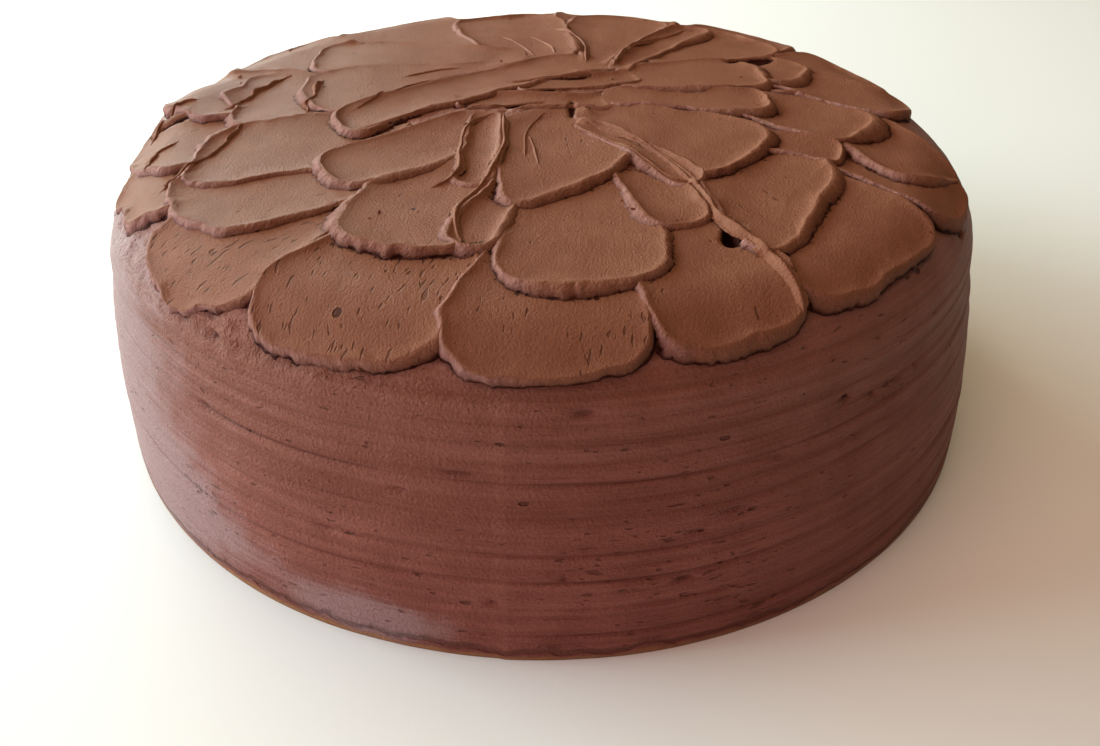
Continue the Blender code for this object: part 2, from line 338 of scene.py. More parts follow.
def knifed(w):
    """Colour, roughness and relief in mm of the icing under the knife."""
    spot = millimetres(w)
    u = w.layer("drag_u")
    v = w.layer("drag_v")
    down = w.layer("bank")
    bank = down.between(0.0, 0.3)
    flat = 1.0 - bank
    hollow = w.layer("hollow")
    pores = w.layer("pores")
    # How torn the bank is; where it faces the left this also lays on painted sheen.
    share = w.layer("torn")
    grain = w.noise(spot, 2.0, 3.0, 0.65) - 0.5
    lumps = w.noise(spot, 0.15, 3.0, 0.5) - 0.5
    streaks = w.noise(w.point(u * 0.05, v * 0.5), 1.0, 3.0, 0.6) - 0.5
    slit_field = w.noise(w.point(u * 0.3, v * 0.8, 7.0), 1.0, 1.0, 0.5)
    patches = w.noise(w.point(u * 0.06, v * 0.06, 3.0), 1.0, 1.0, 0.5) - 0.5
    # Slits where the knife dragged, more of them where the stroke is full of bubbles.
    worn = slit_field + patches * 0.3 + (pores - 1.0) * 0.13
    slits = worn.between(0.63, 0.72) * flat
    torn = w.noise(spot, 0.8, 4.0, 0.65) - 0.5
    # Pits, small ones scattered and the burst bubbles at their own places.
    away = w.nearest(spot, 0.11)
    size = w.noise(spot, 0.09, 0.0, 0.0) - 0.5
    pits = (1.0 - (away - size * 0.12).between(0.005, 0.03)) * pores.between(0.3, 0.6)
    seen_from_above = spot.vector("MULTIPLY", (1.0, 1.0, 0.0))
    for left, ahead, radius in BUBBLES:
        away = seen_from_above.vector("DISTANCE", bubble_place(left, ahead))
        pits = pits + 1.0 - (away + torn * 0.5).between(radius * 0.6, radius)
    pits = pits.between(0.0, 1.0)
    combed = w.noise(w.point(w.layer("along") * 1.1, down * 1.4, 5.0), 1.0, 3.0, 0.6) - 0.5
    holes = (torn + hollow * 0.25).between(0.16, 0.3) * hollow.between(0.15, 0.5)
    # Each part of the relief times its height in millimetres.
    relief = grain * 0.4 + lumps * 0.5 + streaks * 0.1 * flat - slits * 0.28 - pits * 0.6
    relief = relief + (combed * 0.3 + torn * 0.8) * bank - holes * 0.9
    # The colour: two browns, pale where it is torn and as painted sheen where banks face the left,
    # and painted shade in every slit, pit and hollow.
    tone = (lumps * 0.7 + grain * 0.7 + 0.5).between(0.15, 0.85)
    colour = w.blend(tone, ICING_BROWN, ICING_LIGHT)
    torn_and_sheen = (bank * share * 0.9 + (torn + 0.05) * bank * 0.9).between(0.0, 1.0)
    colour = w.blend(torn_and_sheen, colour, ICING_TORN_AND_SHEEN)
    # Painted shade in slits, pits, holes and hollows, and down towards the foot of each bank.
    painted_shade = slits * 0.5 + pits * 0.8 + holes * 0.6 + hollow.between(0.1, 1.1) * 0.9
    painted_shade = painted_shade + down.between(0.25, 0.9) * 0.6
    colour = w.blend(painted_shade.between(0.0, 1.1), colour, ICING_SHADE)
    return colour, 0.5 + bank * 0.15 + grain * 0.2, relief


# %% Scraped icing
def scraped(w):
    """Colour, roughness and relief in mm of the icing under the scraper."""
    spot = millimetres(w)

    def drawn(level, across):
        """The place stretched out level, for textures that the scraper has drawn along."""
        return spot.vector("MULTIPLY", (across, across, level))

    height = w.node("ShaderNodeSeparateXYZ", {}, {0: spot}, "Z")
    hollow = w.layer("hollow")
    band = w.layer("band")
    grain = w.noise(spot, 1.5, 3.0, 0.6) - 0.5
    lumps = w.noise(spot, 0.12, 3.0, 0.5) - 0.5
    streaks = w.noise(drawn(0.9, 0.03), 1.0, 4.0, 0.65) - 0.5
    stripes = w.noise(drawn(0.22, 0.008), 1.0, 2.0, 0.6) - 0.5
    slit_field = w.noise(drawn(1.0, 0.3), 1.0, 1.5, 0.5)
    patches = w.noise(spot, 0.05, 1.0, 0.5) - 0.5
    slits = (slit_field + patches * 0.25 + stripes * 0.15).between(0.685, 0.765)
    sizes = w.noise(drawn(0.3, 0.15), 1.0, 0.0, 0.0) - 0.5
    pits = 1.0 - (w.nearest(drawn(0.16, 0.07), 1.0) - sizes * 0.25).between(0.01, 0.05)
    ragged = (w.noise(spot, 0.4, 3.0, 0.6) - 0.5) * w.layer("torn")
    # Each part of the relief times its height in millimetres; the crease runs above the foot.
    relief = grain * 0.5 + lumps * 0.3 + streaks * 0.7 + stripes * 0.6 - slits * 0.5 - pits * 0.9
    wavy = height + lumps * 6.0 + streaks * 2.0
    crease = wavy.between(1.6, 2.4) * (1.0 - wavy.between(2.6, 4.2))
    relief = relief + ragged * 1.2 - crease * 0.8
    # The colour: two browns, lighter on the swells of the bands as painted light, greyer towards the
    # top, pale smears that are partly painted sheen, painted shade in the grooves and the crease, and
    # the golden foot.
    # The swells of the bands are lighter: painted light.
    tone = lumps * 0.7 + grain * 0.7 + streaks * 1.1 + stripes * 1.2 + band * 1.0 + 0.45
    tone = tone.between(0.05, 0.95)
    colour = w.blend(tone, SCRAPED_BROWN, SCRAPED_LIGHT)
    # Pale smears, the widest of them painted sheen from the windows at the left.
    smear_and_sheen = (w.layer("smear_and_sheen") + streaks * 0.7 + lumps * 0.6).between(0.2, 0.8)
    upper = w.blend(tone, ICING_BROWN, SCRAPED_UPPER)
    colour = w.blend(height.between(15.0, 65.0) * 0.6, colour, upper)
    colour = w.blend(smear_and_sheen * 0.85, colour, SCRAPED_SMEAR_AND_SHEEN)
    # Painted shade in slits, pits, hollows, the dips of torn patches, the grooves between bands and the
    # crease.
    painted_shade = slits * 0.5 + pits * 0.6 + hollow.between(0.2, 1.0) * 0.6
    painted_shade = painted_shade + (0.0 - ragged).between(0.08, 0.3) * 0.5
    painted_shade = painted_shade + (streaks * 0.15 - band).between(0.03, 0.25) * 0.45 + crease * 0.5
    colour = w.blend(painted_shade.between(0.0, 1.1), colour, ICING_SHADE)
    foot = (1.0 - (height + lumps * 3.0).between(0.4, 1.6)) * 0.8
    colour = w.blend(foot, colour, ICING_GOLD)
    return colour, 0.48 + grain * 0.2 + streaks * 0.25 - smear_and_sheen * 0.1, relief


knifed_icing = icing_shader("knifed_icing", knifed, KNIFED_GLOSS)
scraped_icing = icing_shader("scraped_icing", scraped, SCRAPED_GLOSS)

# %% [markdown]
# ## The strokes
# Each stroke starts near the middle and pushes outwards; the outermost were made first.  A stroke
# is named by the two ends of its middle line and by its half width at each end, to the left and to
# the right of someone walking outwards along it, on the rolled-out icing, with X to the right and
# Y away from the viewer.  The rest says how it bends (bow), how its outer edge slants, how boxy
# its corners are (square), how high its floor starts and ends (low, high, climb), how much icing
# is heaped along its lip and its flanks (crest, side), how full of bubbles it is (pores), how long
# its rounded end is (nose), how much it follows what it lands on (sink, follow), and how far its
# bank leans out.  They could be sculpted, but as rows of sizes each one can be changed on its own,
# and the order of the rows is the order of the work.

# %% Stroke rows
USUAL = {"bow": 0.0, "slant": 0.0, "square": (3.0, 3.0), "low": -0.7, "high": -0.1, "climb": 1.3,
         "crest": 0.35, "side": 0.2, "pores": 0.25, "nose": 0.8, "sink": 0.3, "follow": 0.7,
         "lean": 1.5}
Stroke = namedtuple("Stroke", ["root", "tip", "left", "right", *USUAL])


def stroke(root, tip, left, right=None, **own):
    """One petal: its own sizes, and the usual ones for the rest."""
    return Stroke(root, tip, left, right or left, **{**USUAL, **own})


# A petal of the outer ring, whose floor runs on level past the start of the shoulder.
rim_stroke = partial(stroke, low=-0.8, high=0.7, climb=2.6, crest=0.4, side=0.3, pores=0.4,
                     follow=0.3, lean=1.1)
# A shallow stroke over the centre.
sweep = partial(stroke, low=-0.8, high=-0.4, crest=0.3, follow=0.85)
# A narrow stroke that follows what it is pressed into, a little below it.
groove = partial(stroke, high=None, crest=0.3, side=0.3, sink=0.4)

RIM_PETALS = (
    rim_stroke((-10, 55), (-14, 101), (17, 20), square=(3.4, 3.4)),
    rim_stroke((-30, 45), (-54, 85), (15, 20)),
    rim_stroke((15, 50), (26, 100), (14, 20), square=(3.4, 3.4)),
    rim_stroke((-45, 25), (-85, 54), (15, 20)),
    rim_stroke((55, 20), (91, 38), (13, 18)),
    rim_stroke((42, 45), (68, 74), (12, 18)),
    rim_stroke((-65, -22), (-97, -46), (13, 15), high=-0.4),
    rim_stroke((-62, -6), (-102, -22), (14, 17), (10, 17), slant=8, high=-0.5, square=(2.4, 2.2)),
    rim_stroke((-62, 20), (-103, 14), (8, 21), (12, 18), slant=10, high=-0.2, square=(2.6, 2.2)),
    rim_stroke((60, -20), (97, -43), (10, 9), (8, 15)),
    rim_stroke((-43, -46), (-79.5, -76), (14, 22), (10, 15), square=(2.1, 3.2), high=0.2, side=0.4,
               pores=1),
    rim_stroke((42, -43), (73, -73), (17, 19.5), (15, 27), square=(4, 3)),
    rim_stroke((-24, -54), (-37, -102), (15, 19), (4, 21), square=(3, 3.3), high=0.4, side=0.4, pores=1),
    rim_stroke((0, -60), (0.5, -108), (16, 19.5), (6, 18.5), slant=4, square=(4.5, 2.8), side=0.4,
               pores=0.7),
    rim_stroke((24, -52), (34, -99.5), (9, 17), (11, 13), slant=12, square=(5, 2.6), side=0.4),
)

MIDDLE_PETALS = (
    stroke((72, 4), (89, -38), (10, 15), (8, 10)),
    stroke((60, 26), (97, 6), (10, 13), (8, 10.5)),
    stroke((38, -30), (56.5, -61), (18, 22), (12, 20), slant=32, square=(3, 3.4)),
    stroke((-36, -28), (-80.5, -52.5), (20, 20.5), (12, 13), high=-0.6, square=(2.2, 3), pores=0.6),
    stroke((6, -42), (4, -89), (16, 18.5), (15, 13), slant=8, square=(3.4, 2.8), high=0.2),
    stroke((-22, -36), (-29, -75.5), (11, 14), (12, 15.5), square=(3.5, 2.6), high=0.2),
    groove((-8.5, -44), (-13.5, -76), (6, 3.2), (1.5, 6), square=(2.6, 2.6)),
    groove((20, -38), (28.5, -66.5), (7, 7.5), (6.5, 6), square=(3, 2.6), sink=0.1),
    stroke((48, 4), (77.5, -18), (12, 15), (9, 9), square=(2.8, 2.8)),
    stroke((42, -18), (69.5, -30), (7, 6), low=-1.0, high=-0.6, crest=0.25),
    stroke((-45, 12), (-82.5, 4), (12, 17), (12, 23), high=-0.9, crest=0.3),
    stroke((-34, -17), (-81.5, -29), (15, 17.5), (12, 15), slant=-22, square=(2.6, 3), high=-0.7),
)

CENTRE_SWEEPS = (
    sweep((-12, -14), (-47, -42.6), (10, 10.3), (9, 10.5), square=(2.6, 2.6), high=-0.9),
    sweep((0, -6), (5, -51.5), (9, 18), (14, 14), slant=30, square=(2.6, 4), high=-0.9, lean=1.1),
    groove((-14, -9), (-14.5, -49), (3.5, 4), (4, 5.2), square=(2.3, 2.3)),
    sweep((10, -8), (45.5, -36.5), (12, 19.5), (4, 15.5), square=(2.8, 3)),
    groove((9, -15), (33.5, -47.5), (3.5, 4.5), (1.5, 3), square=(2.2, 2.2)),
    sweep((52, 38), (73, 26.5), (12, 12), (12, 13)),
    sweep((30, 36), (64, 66), (7, 17), square=(2.8, 2.8)),
    sweep((16, 3), (57.5, 0.5), (7, 8), (5, 7.5)),
    sweep((20, 18), (60, 23.5), (9, 15), (9, 11.5)),
    sweep((14, 30), (26, 89), (4, 16), side=0.3),
    sweep((20, 25), (48, 76), (3, 6), bow=1, square=(2.4, 2.4), side=0.3),
    sweep((-2, 34), (-14, 90), (12, 18), (13, 17), side=0.3),
    sweep((-6, 40), (-68, 46), (8, 16), bow=3, high=-0.8, side=0.1),
    sweep((-10, 28), (-63.5, 8), (10, 20), (8, 17.5), high=-0.8, side=0.1),
    groove((16, -1), (-22, -1), (3.5, 5), (4, 5), sink=0.1),
    groove((26, 20), (-8, 9), (3.5, 5), (5, 5.5), sink=0.3),
    sweep((20, 31), (-50.5, -14.5), (4, 10), (13, 8), bow=-5, square=(2.6, 2.6), low=-0.3, high=-0.9,
          lean=1.2),
)

print("strokes:", len(RIM_PETALS), "round the rim,", len(MIDDLE_PETALS), "in the middle ring,",
      len(CENTRE_SWEEPS), "over the centre")

# %% [markdown]
# ## A map of heights
# The rolled-out icing is a square map of heights above the smooth outline.  Each stroke reads it,
# to know what it lands on, and then writes itself into it for the strokes that come after.

# %% Height map
MAP_STEP = 0.4
MAP_REACH = 126.0
UNDERCOAT = -1.3
UNDERCOAT_LUMPS = 0.5
UNDERCOAT_FADES = (118.0, 22.0)

AXIS = np.arange(-MAP_REACH, MAP_REACH + MAP_STEP / 2, MAP_STEP)
MAP_X, MAP_Y = np.meshgrid(AXIS, AXIS)
REACH = np.hypot(MAP_X, MAP_Y)


def cells(x, y):
    """Rows and columns of the map nearest to the points."""
    return [np.clip(np.rint((value + MAP_REACH) / MAP_STEP).astype(int), 0, len(AXIS) - 1)
            for value in (y, x)]


def sample(layer, x, y):
    """A map read at any point, blended from the four values around it."""
    u, v = ((np.clip(value, -MAP_REACH, MAP_REACH - 0.01) + MAP_REACH) / MAP_STEP for value in (x, y))
    col = np.floor(u).astype(int)
    row = np.floor(v).astype(int)
    return read(layer.T, col, row, u - col, v - row)


undercoat = UNDERCOAT + UNDERCOAT_LUMPS * ripple(MAP_X, MAP_Y, 14.0, 1)
undercoat = undercoat * ease((UNDERCOAT_FADES[0] - REACH) / UNDERCOAT_FADES[1])
print("undercoat", round(undercoat.min(), 2), "to", round(undercoat.max(), 2), "mm")

# %% [markdown]
# ## The edge of a stroke
# Seen flat, a stroke is a long shape with a rounded root and a blunt tip, not the same on its two
# sides.  Its edge is walked in even steps from the root along one side to the tip and back along
# the other, then made a little uneven, as a hand is.

# %% Stroke edge
EDGE_STEP = 0.5
ROOT_SHARE = 0.25
EDGE_WOBBLE = 1.0
RAGGED = 1.0
RAGGED_FROM = (62, 22)
TURN_STEPS = 40


def direction(shape):
    """The way a stroke heads, and its length."""
    ahead = np.subtract(shape.tip, shape.root).astype(float)
    length = math.hypot(*ahead)
    return ahead / length, length


def place(shape, run, offset):
    """Points of the rolled-out icing from their run along the stroke and offset to its left."""
    ahead, length = direction(shape)
    run = run - math.tan(math.radians(shape.slant)) * offset
    part = np.clip(run / length, 0, 1)
    offset = offset + shape.bow * 4 * part * (1 - part)
    x = shape.root[0] + run * ahead[0] - offset * ahead[1]
    y = shape.root[1] + run * ahead[1] + offset * ahead[0]
    return x, y


def measure(shape, x, y):
    """The share of the stroke's length that a point lies along it, and its offset."""
    ahead, length = direction(shape)
    px = x - shape.root[0]
    py = y - shape.root[1]
    part = (px * ahead[0] + py * ahead[1]) / length
    offset = py * ahead[0] - px * ahead[1] - shape.bow * 4 * part * (1 - part)
    part = part + math.tan(math.radians(shape.slant)) * offset / length
    return part, offset


def flank(shape, side):
    """Run and offset from the middle of the root round one side to the middle of the tip."""
    length = direction(shape)[1]
    start, end = shape.left if side > 0 else shape.right
    power = 2.0 / shape.square[0 if side > 0 else 1]
    tip = shape.nose * (shape.left[1] + shape.right[1]) / 2
    root = min(ROOT_SHARE * length, start)
    turn = np.linspace(0, math.pi / 2, TURN_STEPS)
    up = np.sin(turn) ** power
    over = np.abs(np.cos(turn)) ** power
    straight = np.linspace(root, length - tip, TURN_STEPS)[1:-1]
    run = np.concatenate([root * (1 - up[::-1]), straight, length - tip + tip * up])
    share = np.concatenate([over[::-1], np.ones(len(straight)), over])
    half = start + (end - start) * ease(run / (0.75 * length))
    return run, side * half * share


def walk(run, offset, count):
    """The same line in even steps."""
    gone = np.concatenate([[0.0], np.cumsum(np.hypot(np.diff(run), np.diff(offset)))])
    want = np.linspace(0.0, gone[-1], count + 1)
    return np.interp(want, gone, run), np.interp(want, gone, offset), gone[-1]


def softened(values, times=3):
    """A closed row of values, smoothed a little."""
    for _ in range(times):
        values = (np.roll(values, 1, axis=0) + 2 * values + np.roll(values, -1, axis=0)) / 4
    return values


def from_root(count):
    """Steps from the root to each of the edge's points, counted along its own side."""
    step = np.arange(count)
    return np.minimum(step, count - step)


def edge_of(shape, seed):
    """The stroke's closed edge: points, the way out, and the spine point across from each."""
    left = flank(shape, 1)
    right = flank(shape, -1)
    half = int(max(walk(*left, 4)[2], walk(*right, 4)[2]) / EDGE_STEP)
    left = walk(*left, half)
    right = walk(*right, half)
    x, y = place(shape, *(np.concatenate([left[i], right[i][-2:0:-1]]) for i in (0, 1)))
    edge = np.stack([x, y], axis=-1)
    step = np.roll(edge, -1, axis=0) - np.roll(edge, 1, axis=0)
    out = softened(np.stack([-step[:, 1], step[:, 0]], axis=-1))
    out = out / np.hypot(out[:, 0], out[:, 1])[:, None]
    wobble = ripple(x + 31 * seed, y, 9.0, 11) + 0.35 * ripple(x, y + 17 * seed, 3.0, 12)
    wobble = wobble * (EDGE_WOBBLE + RAGGED * ease((-x - RAGGED_FROM[0]) / RAGGED_FROM[1]))
    edge = edge + out * wobble[:, None]
    return edge, out, spine_of(shape, left, right, half)[from_root(2 * half)]


def spine_of(shape, left, right, half):
    """Points down the middle of the stroke, one for each pair of edge points."""
    length = direction(shape)[1]
    middle = (left[0] + right[0]) / 2
    first = min(shape.left[0], shape.right[0]) * 0.5
    last = length - 0.45 * shape.nose * (shape.left[1] + shape.right[1]) / 2
    share = np.clip((middle - first) / (last - first), 0, 1)
    share = 0.85 * share + 0.15 * np.arange(half + 1) / half
    return np.stack(place(shape, first + (last - first) * share, (left[1] + right[1]) / 2), axis=-1)


# %% [markdown]
# ## One push of the knife
# A stroke's own grid runs in rows from its spine out to its edge and on down the bank outside it,
# so that the crest is always a row of points and stays sharp.  The floor is smooth and hollow; at
# the edge the icing stands up in a crest, at least as high as what lies outside.  Beyond it the
# bank falls to whatever is there and goes a little under it, so that no gap shows.  Banks are most
# torn where they face left, and at the far left of the cake; where they face left, the pale colour
# of a torn bank also stands for painted sheen from the windows at the left.

# %% Press one stroke
FLOOR_ROWS = 17
BANK_ROWS = 9
ROW_GROWTH = 1.8
BANK_SHARE = np.arange(1, BANK_ROWS + 1) / BANK_ROWS

# The floor: how hollow it is, and how long what lies beside it holds the blade up.
HOLLOW = 0.8
WAVE = 0.16
REST_SMOOTH = 100
HELD_UNTIL = 0.4
HELD_FADE = 0.5
SETTLED_FROM = -0.02
SETTLED_OVER = 0.16

# The crest: how far it stands over its neighbours, how wide it is, and where the lip begins.
CREST_OVER = 0.2
CREST_WIDTH = 0.9
CREST_SPREAD = 0.6
LIFT_MOST = 2.2
LIP_FROM = 0.55
LIP_OVER = 0.35
LIP_UNEVEN = 0.6

# The bank: how it leaves the crest, how far down it goes, and how torn it is.  Teeth in its
# outline and crust on its face have a least size, and more where it is torn.
BANK_ROLL = 0.6
BANK_SHOULDER = 1.3
BANK_DIVE = 0.4
FOOT_AWAY = 3.0
DROP_RANGE = (0.2, 6.0)
FULL_DROP = 2.5
LOBES = 0.5
TORN_LEAST = 0.05
TEETH = (0.2, 0.45)
CRUST = (0.14, 0.5)

# A stroke's grid of places and heights, with how deep inside the edge each point lies, its share
# of the way down the bank, its run along the edge and how torn the bank is there.  How torn also
# sets a pale colour, which is partly painted sheen.
Grid = namedtuple("Grid", "points level depth down along torn")


def rest_of(beside, share):
    """The level that a straight blade rests at, held up by what lies on its two sides."""
    level = softened(beside, REST_SMOOTH)
    other = np.roll(level[::-1], 1)
    return level * (1 - share / 2) + other * share / 2


def floor_height(shape, part, offset, rest, across, seed):
    """Height of a stroke's floor above the smooth outline."""
    length = direction(shape)[1]
    height = rest - shape.sink
    if shape.high is not None:
        climb = shape.low + (shape.high - shape.low) * np.clip(part, 0, 1.05) ** shape.climb
        held = shape.follow * (1 - ease((part - HELD_UNTIL) / HELD_FADE))
        height = climb + (height - climb) * held
    height = height + HOLLOW * (across ** 3 - 0.25)
    return height + WAVE * ripple(offset / 7 + seed, part * length / 22, 1.0, 14)


def bead_height(shape, part, x, y, seed):
    """How much icing is heaped along the edge."""
    bead = shape.side + (shape.crest - shape.side) * ease((part - LIP_FROM) / LIP_OVER)
    return bead * (1.0 + LIP_UNEVEN * ripple(x, y, 7.0, 15 + seed))


def press(shape, seed, height):
    """One stroke pushed into the icing that is there: its grid, from the spine out."""
    edge, out, spine = edge_of(shape, seed)
    reach = np.hypot(*(spine - edge).T)
    share = (np.arange(FLOOR_ROWS, -1, -1) / FLOOR_ROWS)[:, None] ** ROW_GROWTH
    inner = edge + (spine - edge) * share[:, :, None]
    depth = reach * share
    part, offset = measure(shape, inner[..., 0], inner[..., 1])
    beside = sample(height, *(edge + out).T)
    floor = floor_height(shape, part, offset, rest_of(beside, share), 1 - share, seed)
    bead = bead_height(shape, part[-1], edge[:, 0], edge[:, 1], seed)
    settled = ease((part - SETTLED_FROM) / SETTLED_OVER)
    lift = np.clip(beside + CREST_OVER - (floor[-1] + bead), 0.0, LIFT_MOST)
    stand = softened(bead + lift * settled[-1], 5)
    width = CREST_WIDTH + CREST_SPREAD * stand
    raised = floor + stand / (1 + (depth / width) ** 2) ** 1.5
    below = sample(height, inner[..., 0], inner[..., 1])
    level = below + (raised - below) * settled + 0.1 * (1 - settled)
    torn = torn_and_sheen_share(edge, out, seed)
    bank, fall = bank_rows(shape, edge, out, level[-1], torn, height, seed)
    level = np.concatenate([level, fall])
    outward = np.hypot(bank[..., 0] - edge[:, 0], bank[..., 1] - edge[:, 1])
    down = np.concatenate([np.zeros(FLOOR_ROWS + 1), BANK_SHARE])[:, None]
    along = from_root(len(edge)) * EDGE_STEP
    return Grid(np.concatenate([inner, bank]), level, np.concatenate([depth, -outward]),
                down + 0 * level, along + 0 * level, torn + 0 * level)


def torn_and_sheen_share(edge, out, seed):
    """How torn a bank is, from 0 to 1: in patches, where it faces left, and at the far left; facing left
    also lays on painted sheen.
    """
    patches = ease(ripple(edge[:, 0] + 13 * seed, edge[:, 1], 16.0, 52) - 0.1)
    # Facing left: more torn, and there the pale torn colour is painted sheen from the windows.
    facing = ease((-0.9 * out[:, 0] - 0.25 * out[:, 1]) / 0.8)
    far = ease((-edge[:, 0] - 55) / 35)
    return np.clip(TORN_LEAST + 0.3 * patches + 0.6 * facing + 0.4 * far, 0, 1)


def bank_rows(shape, edge, out, crest, torn, height, seed):
    """The bank outside the crest: rows of points going out and down."""
    gone = np.arange(len(edge)) * EDGE_STEP
    dive = BANK_DIVE * (0.65 + 0.35 * ripple(gone, 0.0, 11.0, 51 + seed))
    foot = sample(height, *(edge + out * FOOT_AWAY).T) - dive
    drop = softened(np.clip(crest - foot, *DROP_RANGE), 4)
    down = BANK_SHARE[:, None]
    full = np.minimum(drop / FULL_DROP, 1)
    coarse = ripple(gone, down * drop, 2.1, 61 + seed)
    fine = ripple(gone, down * drop, 1.0, 71 + seed)
    lobes = 1 + LOBES * ripple(gone, 0.0, 13.0, 41 + seed)
    reach = (BANK_ROLL + drop * shape.lean) * lobes * down
    reach = reach + (TEETH[0] + TEETH[1] * torn) * (coarse + fine) * down * full
    lump = ripple(gone, down * drop, 1.5, 81 + seed) + 0.6 * fine - 0.5 * np.abs(coarse)
    fall = crest - drop * ease(down ** BANK_SHOULDER)
    fall = fall + (CRUST[0] + CRUST[1] * torn) * lump * np.sin(math.pi * down * 0.9) * full
    return edge + out * np.maximum(reach, 0.02)[:, :, None], fall


# %% [markdown]
# ## The order of work
# The rim is pressed first, then the middle ring, then the long sweeps over the centre.  Then the
# strokes are gone through backwards: wherever a later one covers an earlier one, the earlier one
# is pushed out of sight under it, and what lies deep is left out.

# %% Press the strokes
FINER_ROWS = 5
FINER_COLUMNS = 2


def finer(grid):
    """A grid with more rows and columns in between; its columns run round in a ring."""
    row = np.linspace(0, len(grid) - 1, (len(grid) - 1) * FINER_ROWS + 1)
    low = np.minimum(np.floor(row).astype(int), len(grid) - 2)
    mix = (row - low)[:, None]
    grid = grid[low] * (1 - mix) + grid[low + 1] * mix
    parts = [grid + (np.roll(grid, -1, axis=1) - grid) * i / FINER_COLUMNS
             for i in range(FINER_COLUMNS)]
    return np.stack(parts, axis=-1).reshape(len(grid), -1)


def write(height, grid):
    """Write one stroke into the map, and give back the cells it touches and its depth there."""
    layers = (grid.points[..., 0], grid.points[..., 1], grid.level, grid.depth)
    x, y, level, depth = map(finer, layers)
    row, col = cells(x, y)
    inside = depth > 0
    np.maximum.at(height, (row[~inside], col[~inside]), level[~inside])
    height[row[inside], col[inside]] = level[inside]
    return row.ravel(), col.ravel(), depth.ravel()


top = undercoat.copy()
strokes = []
rings = {"rim_petals": RIM_PETALS, "middle_petals": MIDDLE_PETALS, "centre_sweeps": CENTRE_SWEEPS}
for ring, shapes in rings.items():
    for shape in shapes:
        grid = press(shape, len(strokes), top)
        strokes.append((ring, shape, len(strokes), grid, write(top, grid)))
print("strokes pressed:", len(strokes), " heights", round(top.min(), 2), "to", round(top.max(), 2))

# %% [markdown]
# ## What lies deep
# Light hardly reaches the foot of a bank.  A blurred copy of the map says how high the icing
# stands round a point; taking the point's own height from it gives a number that is large only in
# the hollows, and the finish darkens with it.

# %% Hollows
HOLLOW_SIZE = 1.7


def blurred(layer, size):
    """A map smeared over a distance."""
    cycles = np.fft.fftfreq(len(layer), MAP_STEP)
    keep = np.exp(-2 * (math.pi * size * cycles) ** 2)
    return np.real(np.fft.ifft2(np.fft.fft2(layer) * keep[:, None] * keep))


around = blurred(top, HOLLOW_SIZE)
print("deepest hollow", round((around - top).max(), 2), "mm below what is round it")

# %% [markdown]
# ## Holes and pits
# Here and there the paste did not close behind the knife or the scraper and left a hole.  A tiny
# one is only a dark dot of the finish, but one that is millimetres long has to catch its own
# shadow, so it is a dent in the mesh.  The ones in the side lie level, and are named by how far
# round they are and how far down.

# %% Dents
# Each dent: its place to the right and ahead, half length, half width, turn in degrees, depth.
DENTS = (
    (38.5, -69.5, 3.2, 1.7, 70, 3.0), (60, 39, 6.5, 2.2, 28, 2.2), (7, -6, 5.0, 0.7, 88, 0.9),
    (-7, -5, 6.0, 1.2, 25, 1.4), (-30, -11, 13.0, 1.1, 27, 1.3), (1, 17, 8.0, 0.9, 12, 1.2),
    (-72, -89, 3.0, 1.2, 25, 1.0), (-60, -92, 2.0, 0.9, 20, 1.0), (-96, -4, 4.0, 1.0, 20, 1.2),
)
# Each pit: its way round in degrees, how far down, half length, half width and depth.
SIDE_PITS = (
    (-86, 115, 2.2, 0.7, 0.8), (-95, 157.5, 1.2, 0.8, 0.8), (-76, 154, 2.2, 0.8, 0.9),
    (-75, 143, 2.6, 0.5, 0.7), (-71, 140, 3.4, 0.5, 0.8), (-85.5, 144, 2.0, 0.5, 0.6),
    (-88, 151, 1.2, 0.7, 0.8), (-128, 129.5, 1.2, 0.8, 0.8), (-126.5, 112.5, 1.2, 0.7, 1.0),
    (-139, 114, 1.0, 0.6, 0.9), (-57, 124, 1.2, 0.8, 0.9),
    (-53, 126, 1.0, 0.6, 0.8), (-49, 126, 1.6, 0.5, 0.8), (-45, 126, 1.0, 0.6, 0.8),
    (-27, 110, 1.5, 0.8, 1.0), (-104, 133, 1.4, 0.5, 0.6), (-112, 146, 2.2, 0.5, 0.7),
    (-66, 131, 1.5, 0.5, 0.6), (-98, 128, 3.0, 0.5, 0.6),
)


def side_pit(way, down, long, wide, deep):
    """A pit in the side as a dent of the rolled-out icing, lying level."""
    turn = math.radians(way)
    stretch = down / outline_at(down)[0]
    return down * math.cos(turn), down * math.sin(turn), long * stretch, wide, way + 90, deep


def dent_depth(x, y, dents):
    """How far the dents go down: each is a long hole with soft sides, turned on the icing."""
    depth = 0 * x
    for left, ahead, long, wide, turn, deep in dents:
        turn = math.radians(turn)
        u = (x - left) * math.cos(turn) + (y - ahead) * math.sin(turn)
        v = (y - ahead) * math.cos(turn) - (x - left) * math.sin(turn)
        away = np.hypot(u / long, v / wide)
        depth = np.maximum(depth, deep * ease(1.6 - away))
    return depth


# %% [markdown]
# ## From grids to pieces
# Each ring of strokes becomes one piece.  A grid goes straight into a mesh, with the numbers that
# the finish reads stored at its points.  The last stroke is taken first, so that `cover` always
# says how deep inside a later stroke a point lies.

# %% Strokes to meshes
HIDE_FROM = -0.12
HIDE_OVER = 0.3
HIDE_BELOW = 0.5
LEAVE_OUT = 1.3


